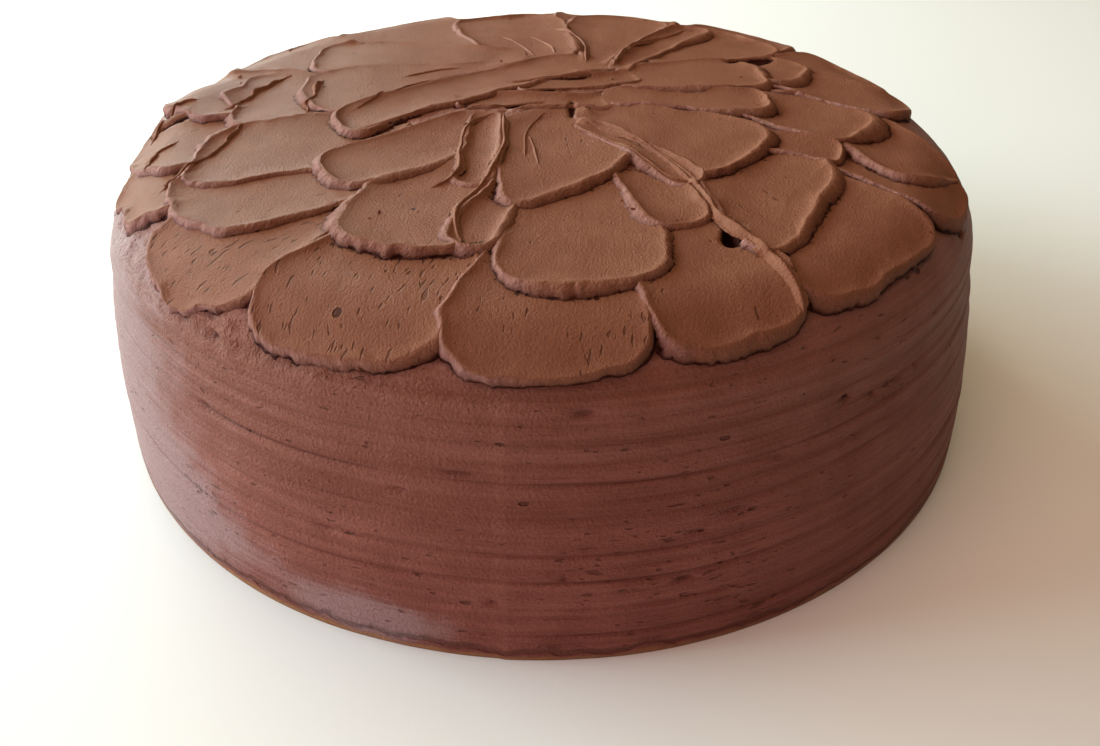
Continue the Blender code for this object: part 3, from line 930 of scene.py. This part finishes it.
def make_mesh(name, points, faces):
    """A smooth-shaded mesh object from arrays of points and four-sided faces."""
    mesh = bpy.data.meshes.new(name)
    mesh.vertices.add(len(points))
    mesh.vertices.foreach_set("co", points.astype(np.float32).ravel())
    mesh.loops.add(faces.size)
    mesh.loops.foreach_set("vertex_index", faces.astype(np.int32).ravel())
    mesh.polygons.add(len(faces))
    mesh.polygons.foreach_set("loop_start", np.arange(0, faces.size, 4, dtype=np.int32))
    mesh.update(calc_edges=True)
    mesh.validate()
    mesh.shade_smooth()
    return bpy.data.objects.new(name, mesh)


def add_layer(piece, name, values):
    """One number at each point of a piece, for its material to read."""
    layer = piece.data.attributes.new(name, "FLOAT", "POINT")
    layer.data.foreach_set("value", values.astype(np.float32).ravel())


def ring_faces(number):
    """Four-sided faces between rows of numbered points that run round in a ring."""
    ahead = np.roll(number, -1, axis=1)
    return np.stack([number[:-1], number[1:], ahead[1:], ahead[:-1]], axis=-1)


def stroke_mesh(shape, seed, grid, cover):
    """Points, faces and the values a material needs, of one stroke."""
    x = grid.points[..., 0]
    y = grid.points[..., 1]
    level = grid.level
    over = sample(cover, x, y)
    hidden = ease((over - HIDE_FROM) / HIDE_OVER)
    under = np.minimum(level, sample(top, x, y) - HIDE_BELOW)
    level = level + (under - level) * hidden - dent_depth(x, y, DENTS) * (1 - hidden)
    number = np.arange(level.size).reshape(level.shape)
    half = level.shape[1] // 2
    number[0, half + 1:] = number[0, half - 1:0:-1]
    faces = ring_faces(number)[..., (0, 3, 2, 1)]
    deep = over > LEAVE_OUT
    deep = deep & np.roll(deep, -1, axis=1)
    gone = deep[:-1] & deep[1:]
    part, offset = measure(shape, x, y)
    run = part * direction(shape)[1]
    values = {"drag_u": run + 60 * seed, "drag_v": offset + 40 * seed, "torn": grid.torn,
              "bank": grid.down, "along": grid.along + 90 * seed, "pores": shape.pores + 0 * level,
              "hollow": sample(around, x, y) - level}
    return lay(x, y, level).reshape(-1, 3), faces[~gone], values


def compact(points, faces, values):
    """Drop the points that no face uses."""
    used = np.unique(faces)
    renumber = np.full(len(points), -1)
    renumber[used] = np.arange(len(used))
    return points[used], renumber[faces], {k: v.ravel()[used] for k, v in values.items()}


def ring_piece(name, meshes):
    """One object from the strokes of one ring."""
    shift = np.cumsum([0] + [len(m[0]) for m in meshes])
    points = np.concatenate([m[0] for m in meshes])
    faces = np.concatenate([m[1] + n for m, n in zip(meshes, shift)])
    piece = link(make_mesh(name, points, faces))
    for key in meshes[0][2]:
        add_layer(piece, key, np.concatenate([m[2][key] for m in meshes]))
    print(name, 2 * len(faces), "triangles")
    return piece


cover = np.full_like(top, -3.0)
meshes = {ring: [] for ring in rings}
for ring, shape, seed, grid, touched in reversed(strokes):
    meshes[ring].append(compact(*stroke_mesh(shape, seed, grid, cover)))
    np.maximum.at(cover, touched[:2], touched[2])
top_pieces = [ring_piece(ring, meshes[ring]) for ring in rings]
for piece in top_pieces:
    piece.data.materials.append(knifed_icing)

# %% [markdown]
# ## Growing things with nodes
# Ridges, crumbs and the scraper's bands all repeat or follow the surface, so Geometry Nodes make
# them.  Each tree is built here in the script, runs once on its piece, and leaves a plain mesh.

# %% Node tree helpers
def new_tree(name, inputs):
    """An empty Geometry Nodes tree: a wire to write sums with, and its inputs by name."""
    tree = bpy.data.node_groups.new(name, "GeometryNodeTree")
    tree.interface.new_socket("Geometry", in_out="OUTPUT", socket_type="NodeSocketGeometry")
    for label, kind in {"Geometry": "Geometry", **inputs, "Finish": "Material"}.items():
        tree.interface.new_socket(label, in_out="INPUT", socket_type="NodeSocket" + kind)
    sockets = tree.nodes.new("NodeGroupInput").outputs
    return Wire(tree), {socket.name: Wire(tree, socket) for socket in sockets}


def close_tree(geometry, finish):
    """Realize Instances, Set Material, and out."""
    real = geometry.node("GeometryNodeRealizeInstances", {}, {"Geometry": geometry})
    last = real.node("GeometryNodeSetMaterial", {}, {"Geometry": real, "Material": finish})
    out = last.tree.nodes.new("NodeGroupOutput")
    last.tree.links.new(last.socket, out.inputs["Geometry"])
    return last.tree


def stored(w, name):
    """A number stored on the mesh that a tree runs on."""
    return w.node("GeometryNodeInputNamedAttribute", {"data_type": "FLOAT"}, {"Name": name})


def grow(piece, tree, values):
    """Run a tree on a piece, keep the result as its plain mesh, and take the modifier off."""
    modifier = piece.modifiers.new(tree.name, "NODES")
    modifier.node_group = tree
    for item in tree.interface.items_tree:
        if item.in_out == "INPUT" and item.name in values:
            modifier[item.identifier] = values[item.name]
    graph = bpy.context.evaluated_depsgraph_get()
    mesh = bpy.data.meshes.new_from_object(piece.evaluated_get(graph))
    piece.modifiers.remove(modifier)
    piece.data = mesh
    mesh.shade_smooth()
    print(piece.name, sum(len(p.vertices) - 2 for p in mesh.polygons), "triangles")


# %% [markdown]
# ## Thin ridges
# Where the edge of the knife ran between two strokes it left a thin standing ridge, sharp and
# pale, and inside the long sweeps a few faint arcs.  At the far left the icing tore instead, and
# its ridges wander and are rough.  Each is a line on the icing with a size at each point; a small
# rounded profile is swept along it, half sunk.

# %% Ridge lines
# Each point of a ridge: its place to the right and ahead, and the ridge's size there.
RIDGES = (
    ((8, -12, 0.3), (14, -17, 0.5), (23, -26, 0.6), (29, -38, 0.6), (32, -45, 0.8), (34, -52, 0.8),
     (36, -62, 1.0), (39, -68, 1.2), (42, -72, 1.1), (45, -79, 1.3), (48, -86, 1.0), (49, -92, 0.5)),
    ((-10.5, -11, 0.4), (-10, -18, 0.6), (-9.5, -26, 0.6), (-9.5, -34, 0.6), (-11, -42, 0.8),
     (-13, -49, 0.8), (-16, -55, 0.7), (-18.3, -62, 0.6), (-17.5, -70, 0.6), (-16, -75, 0.4)),
    ((-13, -11, 0.4), (-18, -14, 0.5), (-19.5, -22, 0.4), (-19.5, -33, 0.5), (-18.5, -42, 0.8),
     (-21, -47, 0.7), (-25, -50, 0.4)),
    ((8, -18, 0.3), (15, -26, 0.5), (22, -36, 0.5), (27, -44, 0.5), (30, -46, 0.5), (34, -46, 0.3)),
    ((10, -14, 0.3), (18, -22, 0.5), (25, -30, 0.5), (31, -40, 0.5), (34, -47, 0.4)),
    ((-40, 21, 0.3), (-32, 27, 0.4), (-24, 29, 0.3)),
    ((-49, -6, 0.3), (-42, 6, 0.4), (-38, 13, 0.4), (-31, 18, 0.5), (-21, 25, 0.3)),
    ((3, 70, 0.3), (9, 60, 0.6), (12, 50, 0.7), (12, 40, 0.6), (12, 33, 0.3)),
    ((-5, 62, 0.3), (1, 53, 0.5), (3, 42, 0.3)),
    ((-14, 62, 0.3), (-8, 53, 0.4), (-3, 40, 0.3)),
    ((19, 28, 0.3), (22, 39, 0.5), (25, 49, 0.6), (32, 57, 0.6), (39, 64, 0.5), (45, 75, 0.3)),
    ((0, -9, 0.3), (-4, -17, 0.4), (-5, -26, 0.4), (-4, -36, 0.3)),
    ((-4, -22, 0.3), (-2, -32, 0.5), (-1, -40, 0.3)),
)
TORN_RIDGES = (
    ((-86, -45, 0.4), (-85, -43, 0.9), (-82, -35, 1.1), (-78.5, -27, 1.2), (-77, -18, 0.9),
     (-75, -12, 0.4)),
    ((-61, -7, 0.4), (-62, 2, 0.9), (-62, 10, 1.3), (-62.5, 17, 1.0), (-62, 21, 0.4)),
    ((-84, -2, 0.5), (-82, 2, 1.0), (-79, 11, 1.2), (-77, 19, 1.0), (-72, 27, 0.5)),
    ((-93, -33, 0.4), (-96, -27, 0.9), (-94, -20, 0.7), (-90, -16, 0.3)),
    ((-101, -12, 0.4), (-100, -3, 0.9), (-97, 4, 0.8), (-91, 8, 0.4)),
)
RIDGE_STEP = 0.5
RIDGE_TAPER = 3.0
RIDGE_SPREAD = 1.9
RIDGE_ROUGH = 0.12
TORN_WILD = 2.6
TORN_ROUGH = 0.4
TORN_SIZE = 0.7
RIDGE_FINE = 13
RIDGE_SUNK = 0.35
RIDGE_LEAST = 0.15
RIDGE_WANDER = 0.35
RIDGE_UNEVEN = 0.3
ROUGH_LUMPS = 900.0


def ridge_line(row, wild):
    """One line through the row's points, rounded, in even steps, with its sizes."""
    row = np.array(row, dtype=float)
    for _ in range(3):
        ahead = row[1:] - row[:-1]
        cut = np.stack([row[:-1] + 0.25 * ahead, row[:-1] + 0.75 * ahead], axis=1).reshape(-1, 3)
        row = np.concatenate([row[:1], cut, row[-1:]])
    gone = np.concatenate([[0.0], np.cumsum(np.hypot(*np.diff(row[:, :2], axis=0).T))])
    want = np.arange(0.0, gone[-1], RIDGE_STEP)
    x, y, size = (np.interp(want, gone, row[:, i]) for i in range(3))
    x = x + RIDGE_WANDER * wild * ripple(x, y, 7.0 / wild, 91)
    y = y + RIDGE_WANDER * wild * ripple(x, y, 7.0 / wild, 92)
    ends = ease(want / RIDGE_TAPER) * ease((gone[-1] - want) / RIDGE_TAPER)
    size = size * (RIDGE_LEAST + (1 - RIDGE_LEAST) * ends)
    return x, y, size * (1 + RIDGE_UNEVEN * wild * ripple(x, y, 3.5, 93))


def ridge_piece():
    """The ridge lines laid on the icing as loose edges."""
    soft_top = blurred(top, 0.4)
    points, edges, sizes, rough = [], [], [], []
    lines = [(row, 1.0, RIDGE_ROUGH, 1.0) for row in RIDGES]
    lines = lines + [(row, TORN_WILD, TORN_ROUGH, TORN_SIZE) for row in TORN_RIDGES]
    for row, wild, bank, whole in lines:
        x, y, size = ridge_line(row, wild)
        start = sum(map(len, points))
        points.append(lay(x, y, sample(soft_top, x, y)))
        edges.extend((start + i, start + i + 1) for i in range(len(x) - 1))
        sizes.append(size * whole * MM)
        rough.append(bank + 0 * size)
    mesh = bpy.data.meshes.new("thin_ridges")
    mesh.from_pydata(np.concatenate(points).tolist(), edges, [])
    piece = link(bpy.data.objects.new("thin_ridges", mesh))
    add_layer(piece, "size", np.concatenate(sizes))
    add_layer(piece, "bank", np.concatenate(rough))
    return piece


# %% Ridge tree
def ridge_tree():
    """A soft bump, closed underneath, swept along every line, as large as the line's own size."""
    w, given = new_tree("ridge", {"Height": "Float", "Roughness": "Float"})
    path = w.node("GeometryNodeMeshToCurve", {}, {"Mesh": given["Geometry"]})
    path = w.node("GeometryNodeSetCurveNormal", {"mode": "Z_UP"}, {"Curve": path})
    ends = {"Start": (-RIDGE_SPREAD, 0.0, 0.0), "End": (RIDGE_SPREAD, 0.0, 0.0)}
    bump = w.node("GeometryNodeCurvePrimitiveLine", {}, ends)
    bump = w.node("GeometryNodeResampleCurve", {}, {"Curve": bump, "Count": RIDGE_FINE})
    here = w.node("GeometryNodeInputPosition", {}, {})
    across = w.node("ShaderNodeSeparateXYZ", {}, {0: here}, "X")
    swell = (across * across * -1.6).sum("EXPONENT", across * across * -1.6)
    rise = RIDGE_SUNK - swell * given["Height"]
    bump = w.node("GeometryNodeSetPosition", {}, {"Geometry": bump, "Offset": w.point(0.0, rise)})
    ring = w.node("GeometryNodeSetSplineCyclic", {}, {"Geometry": bump, "Cyclic": True})
    swept = w.node("GeometryNodeCurveToMesh", {}, {"Curve": path, "Profile Curve": ring,
                                                   "Scale": stored(w, "size"), "Fill Caps": True})
    rough = w.node("ShaderNodeTexNoise", {}, {"Vector": here, "Scale": ROUGH_LUMPS, "Detail": 2.0},
                   "Color")
    rough = rough.vector("SUBTRACT", (0.5, 0.5, 0.5)).vector("SCALE", given["Roughness"])
    swept = w.node("GeometryNodeSetPosition", {}, {"Geometry": swept, "Offset": rough})
    return close_tree(swept, given["Finish"])


ridges = ridge_piece()
grow(ridges, ridge_tree(), {"Height": 1.25, "Roughness": 0.45 * MM, "Finish": knifed_icing})

# %% [markdown]
# ## Torn crumbs
# Where a lip tears away from the knife it leaves little curls and crumbs along its foot.  They are
# one small roughened ball, dropped a few dozen times along the most torn banks: points are picked
# by rule, and Geometry Nodes put a turned, stretched copy on each.

# %% Crumb places
CRUMB_SHARE = 0.012
CRUMB_ROWS = slice(FLOOR_ROWS + 3, FLOOR_ROWS + 8)
CRUMB_REACH = 122.0
CRUMB_SIZES = (0.3, 0.65)
BARE_WITHIN = 0.25


def crumb_places():
    """Points on the open part of the banks, and a size for each."""
    chance = np.random.default_rng(7)
    places, sizes = [], []
    for _, _, _, grid, _ in strokes:
        x, y = np.moveaxis(grid.points[CRUMB_ROWS], -1, 0)
        level = grid.level[CRUMB_ROWS]
        surface = sample(top, x, y)
        bare = (np.abs(surface - level) < BARE_WITHIN) & (sample(around, x, y) - surface > -0.1)
        share = CRUMB_SHARE * grid.torn[CRUMB_ROWS] ** 2
        chosen = bare & (np.hypot(x, y) < CRUMB_REACH) & (chance.random(x.shape) < share)
        places.append(lay(x[chosen], y[chosen], level[chosen]))
        sizes.append(chance.uniform(*CRUMB_SIZES, chosen.sum()) ** 1.3)
    return np.concatenate(places), np.concatenate(sizes)


def crumb_piece():
    """Loose points, one for each crumb."""
    places, sizes = crumb_places()
    mesh = bpy.data.meshes.new("torn_crumbs")
    mesh.from_pydata(places.tolist(), [], [])
    piece = link(bpy.data.objects.new("torn_crumbs", mesh))
    add_layer(piece, "size", sizes * MM)
    print("crumbs:", len(places))
    return piece


# %% Crumb tree
FULL_TURN = (6.28, 6.28, 6.28)
THIN_CRUMB = (0.7, 0.6, 0.5)
LONG_CRUMB = (1.7, 1.1, 0.9)


def random_vector(w, least, most, seed):
    """A vector of its own for every point."""
    return w.node("FunctionNodeRandomValue", {"data_type": "FLOAT_VECTOR"},
                  {"Min": least, "Max": most, "Seed": seed})


def crumb_tree():
    """A roughened ball on every point, turned and stretched at random."""
    w, given = new_tree("crumbs", {"Seed": "Int", "Roughness": "Float"})
    ball = w.node("GeometryNodeMeshIcoSphere", {}, {"Radius": 1.0, "Subdivisions": 2})
    here = w.node("GeometryNodeInputPosition", {}, {})
    push = here.vector("SCALE", (w.noise(here, 1.1, 2.0, 0.6) - 0.5) * given["Roughness"])
    ball = w.node("GeometryNodeSetPosition", {}, {"Geometry": ball, "Offset": push})
    turned = random_vector(w, (0.0, 0.0, 0.0), FULL_TURN, given["Seed"])
    stretched = random_vector(w, THIN_CRUMB, LONG_CRUMB, given["Seed"] + 1.0)
    crumbs = w.node("GeometryNodeInstanceOnPoints", {},
                    {"Points": given["Geometry"], "Instance": ball, "Rotation": turned,
                     "Scale": stretched.vector("SCALE", stored(w, "size"))})
    return close_tree(crumbs, given["Finish"])


crumbs = crumb_piece()
grow(crumbs, crumb_tree(), {"Seed": 5, "Roughness": 0.9, "Finish": knifed_icing})

# %% [markdown]
# ## The scraped side
# A flat scraper leaves level bands, a few millimetres high, that swell and die away round the
# cake.  Their shape down the side is one curve, and noise drawn out level makes them wander.  The
# plain shoulder and wall come first as a grid; a Geometry Nodes tree then moves every point of it
# out or in, so the depth of the bands can be changed without touching the grid.
#
# The grid itself holds what the scraper did only once: a small upright step near the front where
# it stopped and was lifted off, pits, and pale smears at the left, the widest of them painted sheen
# from the windows.  Under the top it sinks away beneath the petals, and at the foot it turns in and
# closes underneath.

# %% Plain side
STOP_WAY = 265.5
STOP_STEP = 0.25
STOP_FADE = 5.0
# Each smear: its way round in degrees, how far down, and how far it spreads each way.  The last,
# widest one is painted sheen from the windows at the left.
SMEARS_AND_SHEEN = ((252.0, 167.0, 9.0, 7.0), (221.0, 160.0, 16.0, 12.0), (206.0, 135.0, 22.0, 35.0))
# The rows of the grid, far apart under the petals and close together from there to the foot.
FINE_FROM = 90.0
SIDE_ROWS = np.concatenate([np.arange(0.0, FINE_FROM, 4.0), np.linspace(FINE_FROM, SKIN_LENGTH, 144)])
SIDE_COLUMNS = 560
SUNK_UNDER_TOP = 3.0
COVERED_TO = 122.0
SCRAPED_FROM = 104.0
SCRAPED_OVER = 12.0
# The torn strip under the petals: where it begins, comes in over, ends and dies away over.
TORN_STRIP = (101.0, 5.0, 119.0, 9.0)
TORN_HEIGHT = 0.35
UNDERSIDE = (0.97, 0.5, 0.0)
WELD = 0.001 * MM


def ring_mesh(name, points):
    """A mesh object from rows of points that run round in a ring."""
    number = np.arange(points[..., 0].size).reshape(points.shape[:2])
    return link(make_mesh(name, points.reshape(-1, 3), ring_faces(number).reshape(-1, 4)))


def plain_side():
    """The undercoat, the shoulder, the side and the underside, before the scraper."""
    turn = np.arange(SIDE_COLUMNS) * 2 * math.pi / SIDE_COLUMNS
    down, turn = np.meshgrid(SIDE_ROWS, turn, indexing="ij")
    x = down * np.cos(turn)
    y = down * np.sin(turn)
    raised = sample(undercoat, x, y) * ease((126.0 - down) / 4.0)
    over = ease(sample(cover, x, y) - 0.3) * (down < COVERED_TO)
    begin, come, end, die = TORN_STRIP
    torn = ease((down - begin) / come) * ease((end - down) / die)
    torn = torn * (0.15 + 0.85 * ease((-x - 5) / 60))
    raised = raised + torn * TORN_HEIGHT * (ripple(x, y, 4.0, 31) + 0.8 * ripple(x, y, 2.0, 32))
    past = np.degrees(turn) - STOP_WAY
    raised = raised + STOP_STEP * np.where(past > 0, np.exp(-past / STOP_FADE), 0.0) * (down > 112)
    pits = dent_depth(x, y, [side_pit(*row) for row in SIDE_PITS])
    raised = raised - pits - SUNK_UNDER_TOP * over
    points = lay(x, y, raised)
    under = np.array(UNDERSIDE)[:, None, None] * points[-1]
    under[..., 2] = 0.0
    piece = ring_mesh("icing_side", np.concatenate([points, under]))
    inside = np.hypot(x, y) < MAP_REACH - 1
    hollow = np.where(inside, sample(around, x, y) - raised - SUNK_UNDER_TOP * over, pits) * (1 - over)
    # Pale smears round the side; the last and widest is painted sheen from the windows.
    smear_and_sheen = sum(np.exp(-((np.degrees(turn) - way) / wide) ** 2 - ((down - low) / high) ** 2)
                for way, low, wide, high in SMEARS_AND_SHEEN)
    layers = {"hollow": hollow, "torn": torn, "smear_and_sheen": smear_and_sheen,
              "shown": ease((down - SCRAPED_FROM) / SCRAPED_OVER)}
    for name, values in layers.items():
        add_layer(piece, name, np.concatenate([values, np.zeros((len(UNDERSIDE), SIDE_COLUMNS))]))
    return piece


side = plain_side()

# %% Scraper tree
# Each line between two bands: its height above the foot, and how strong it is.
BAND_LINES = ((7.0, 0.5), (14.4, 0.3), (20.9, 0.9), (24.0, 0.25), (27.4, 0.6), (32.0, 0.3),
              (35.6, 0.6), (39.4, 0.35), (43.0, 1.0), (46.8, 0.45), (51.0, 0.6), (55.3, 0.45),
              (60.0, 0.35))
# Across one line, from below: how far from it, and how far in or out.
BAND_SHAPE = ((-0.7, 0.22), (0.0, -0.45), (0.7, 0.05))
LEVEL_LUMPS = (0.012, 0.012, 0.03)
LEVEL_STREAKS = (0.02, 0.02, 0.5)


def band_points():
    """The scraper's profile: at every line a narrow groove with a fuller edge above and below."""
    yield 0.0, 0.5
    for height, strength in BAND_LINES:
        for away, push in BAND_SHAPE:
            yield (height + away) / RIM_HEIGHT, 0.5 + push * strength
    yield 1.0, 0.5


def profile(value, points):
    """A number bent by a curve with straight runs between its points."""
    curve = value.tree.nodes.new("ShaderNodeFloatCurve")
    bends = curve.mapping.curves[0].points
    first, *others, last = points
    bends[0].location = first
    bends[1].location = last
    for bend in others:
        bends.new(*bend)
    for bend in bends:
        bend.handle_type = "VECTOR"
    curve.mapping.update()
    value.tree.links.new(value.socket, curve.inputs["Value"])
    return Wire(value.tree, curve.outputs["Value"])


def scraper_tree():
    """Level bands and streaks, pushed out of a plain side."""
    w, given = new_tree("scraper", {"Band depth": "Float", "Wander": "Float", "Streaks": "Float"})
    spot = w.node("GeometryNodeInputPosition", {}, {}).vector("SCALE", 1 / MM)
    drawn = spot.vector("MULTIPLY", LEVEL_LUMPS)
    fine = spot.vector("MULTIPLY", LEVEL_STREAKS)
    level = w.node("ShaderNodeSeparateXYZ", {}, {0: spot}, "Z")
    wandering = level + (w.noise(drawn, 1.0, 2.0, 0.5) - 0.5) * given["Wander"]
    band = profile(wandering * (1.0 / RIM_HEIGHT), band_points()) - 0.5
    swell = w.noise(drawn, 2.2, 1.0, 0.5) * 1.6 - 0.1
    push = band * given["Band depth"] * swell
    push = push + (w.noise(fine, 1.0, 3.0, 0.6) - 0.5) * given["Streaks"]
    offset = w.node("GeometryNodeInputNormal", {}, {}).vector("SCALE", push * stored(w, "shown"))
    bands = w.node("GeometryNodeSetPosition", {}, {"Geometry": given["Geometry"], "Offset": offset})
    # The band is stored for the finish, which paints light on its swells and shade in its grooves.
    bands = w.node("GeometryNodeStoreNamedAttribute", {"data_type": "FLOAT", "domain": "POINT"},
                   {"Geometry": bands, "Name": "band", "Value": band * swell})
    bands = w.node("GeometryNodeMergeByDistance", {}, {"Geometry": bands, "Distance": WELD})
    return close_tree(bands, given["Finish"])


grow(side, scraper_tree(), {"Band depth": 1.5 * MM, "Wander": 2.5, "Streaks": 0.9 * MM,
                            "Finish": scraped_icing})

# %% [markdown]
# ## Floor and light
# The floor is pale paper that curves up into a wall all round, like a bowl, so that no side of the
# cake is seen against nothing.  The light is cool from windows at the left and behind, with a
# little warm light from above and from the front left.  Large lamps give a room's soft shadows.

# %% Floor and light
# The floor and the lamps are in metres.
FLOOR_REACH = 5.0
COVE = 1.5
WALL_HEIGHT = 4.0
FLOOR_TURNS = 96
COVE_STEPS = 16
PAPER = (0.82, 0.82, 0.81, 1.0)
PAPER_ROUGHNESS = 0.8
AIM = (0.0, 0.0, 0.05)
# Each lamp: its place, its size, its power and its colour.
LAMPS = {
    "window_left": ((-1.6, 0.2, 0.6), (1.2, 1.0), 43.0, (0.76, 1.0, 1.05)),
    "window_back": ((-1.2, 1.3, 0.5), (1.6, 0.8), 22.0, (0.77, 1.0, 0.91)),
    "window_low": ((-0.6, 0.75, 0.35), (0.8, 0.5), 7.0, (0.85, 1.0, 1.0)),
    "ceiling": ((0.0, 0.3, 1.7), (1.8, 1.8), 17.5, (1.0, 0.73, 0.45)),
    "wall_front": ((-1.3, -1.2, 0.8), (1.5, 1.2), 15.0, (1.0, 0.55, 0.62)),
}


def studio_floor():
    """A round floor that curves up into a wall, so that no edge of it is ever seen."""
    bend = np.linspace(0.0, math.pi / 2, COVE_STEPS)
    radius = np.concatenate([[0.0, 1.0], FLOOR_REACH + COVE * np.sin(bend), [FLOOR_REACH + COVE]])
    height = np.concatenate([[0.0, 0.0], COVE * (1 - np.cos(bend)), [WALL_HEIGHT]])
    turn = np.arange(FLOOR_TURNS) * 2 * math.pi / FLOOR_TURNS
    points = np.stack([radius[:, None] * np.cos(turn), radius[:, None] * np.sin(turn),
                       height[:, None] + 0 * turn], axis=-1)
    return ring_mesh("floor", points)


floor = studio_floor()
paper = bpy.data.materials.new("floor")
paper.use_nodes = True
paper_shader = paper.node_tree.nodes["Principled BSDF"]
paper_shader.inputs["Base Color"].default_value = PAPER
paper_shader.inputs["Roughness"].default_value = PAPER_ROUGHNESS
floor.data.materials.append(paper)

for name, (lamp_place, size, power, colour) in LAMPS.items():
    data = bpy.data.lights.new(name, "AREA")
    data.shape = "RECTANGLE"
    data.size, data.size_y = size
    data.energy = power
    data.color = colour
    item = link(bpy.data.objects.new(name, data))
    item.location = lamp_place
    towards = Vector(AIM) - Vector(lamp_place)
    item.rotation_euler = towards.to_track_quat("-Z", "Y").to_euler()

world = bpy.data.worlds.new("room")
world.use_nodes = True
world.node_tree.nodes["Background"].inputs["Strength"].default_value = 0.0
bpy.context.scene.world = world
bpy.context.scene.view_settings.view_transform = "Standard"

print("lamps:", ", ".join(LAMPS))

# %% [markdown]
# ## Fasten the pieces
# The cake is one body.  All six pieces ride on it and stand for its one solid.

# %% Fasten the pieces to the frame
for piece in (*top_pieces, ridges, crumbs, side):
    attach(piece, "root")
    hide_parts("cake")
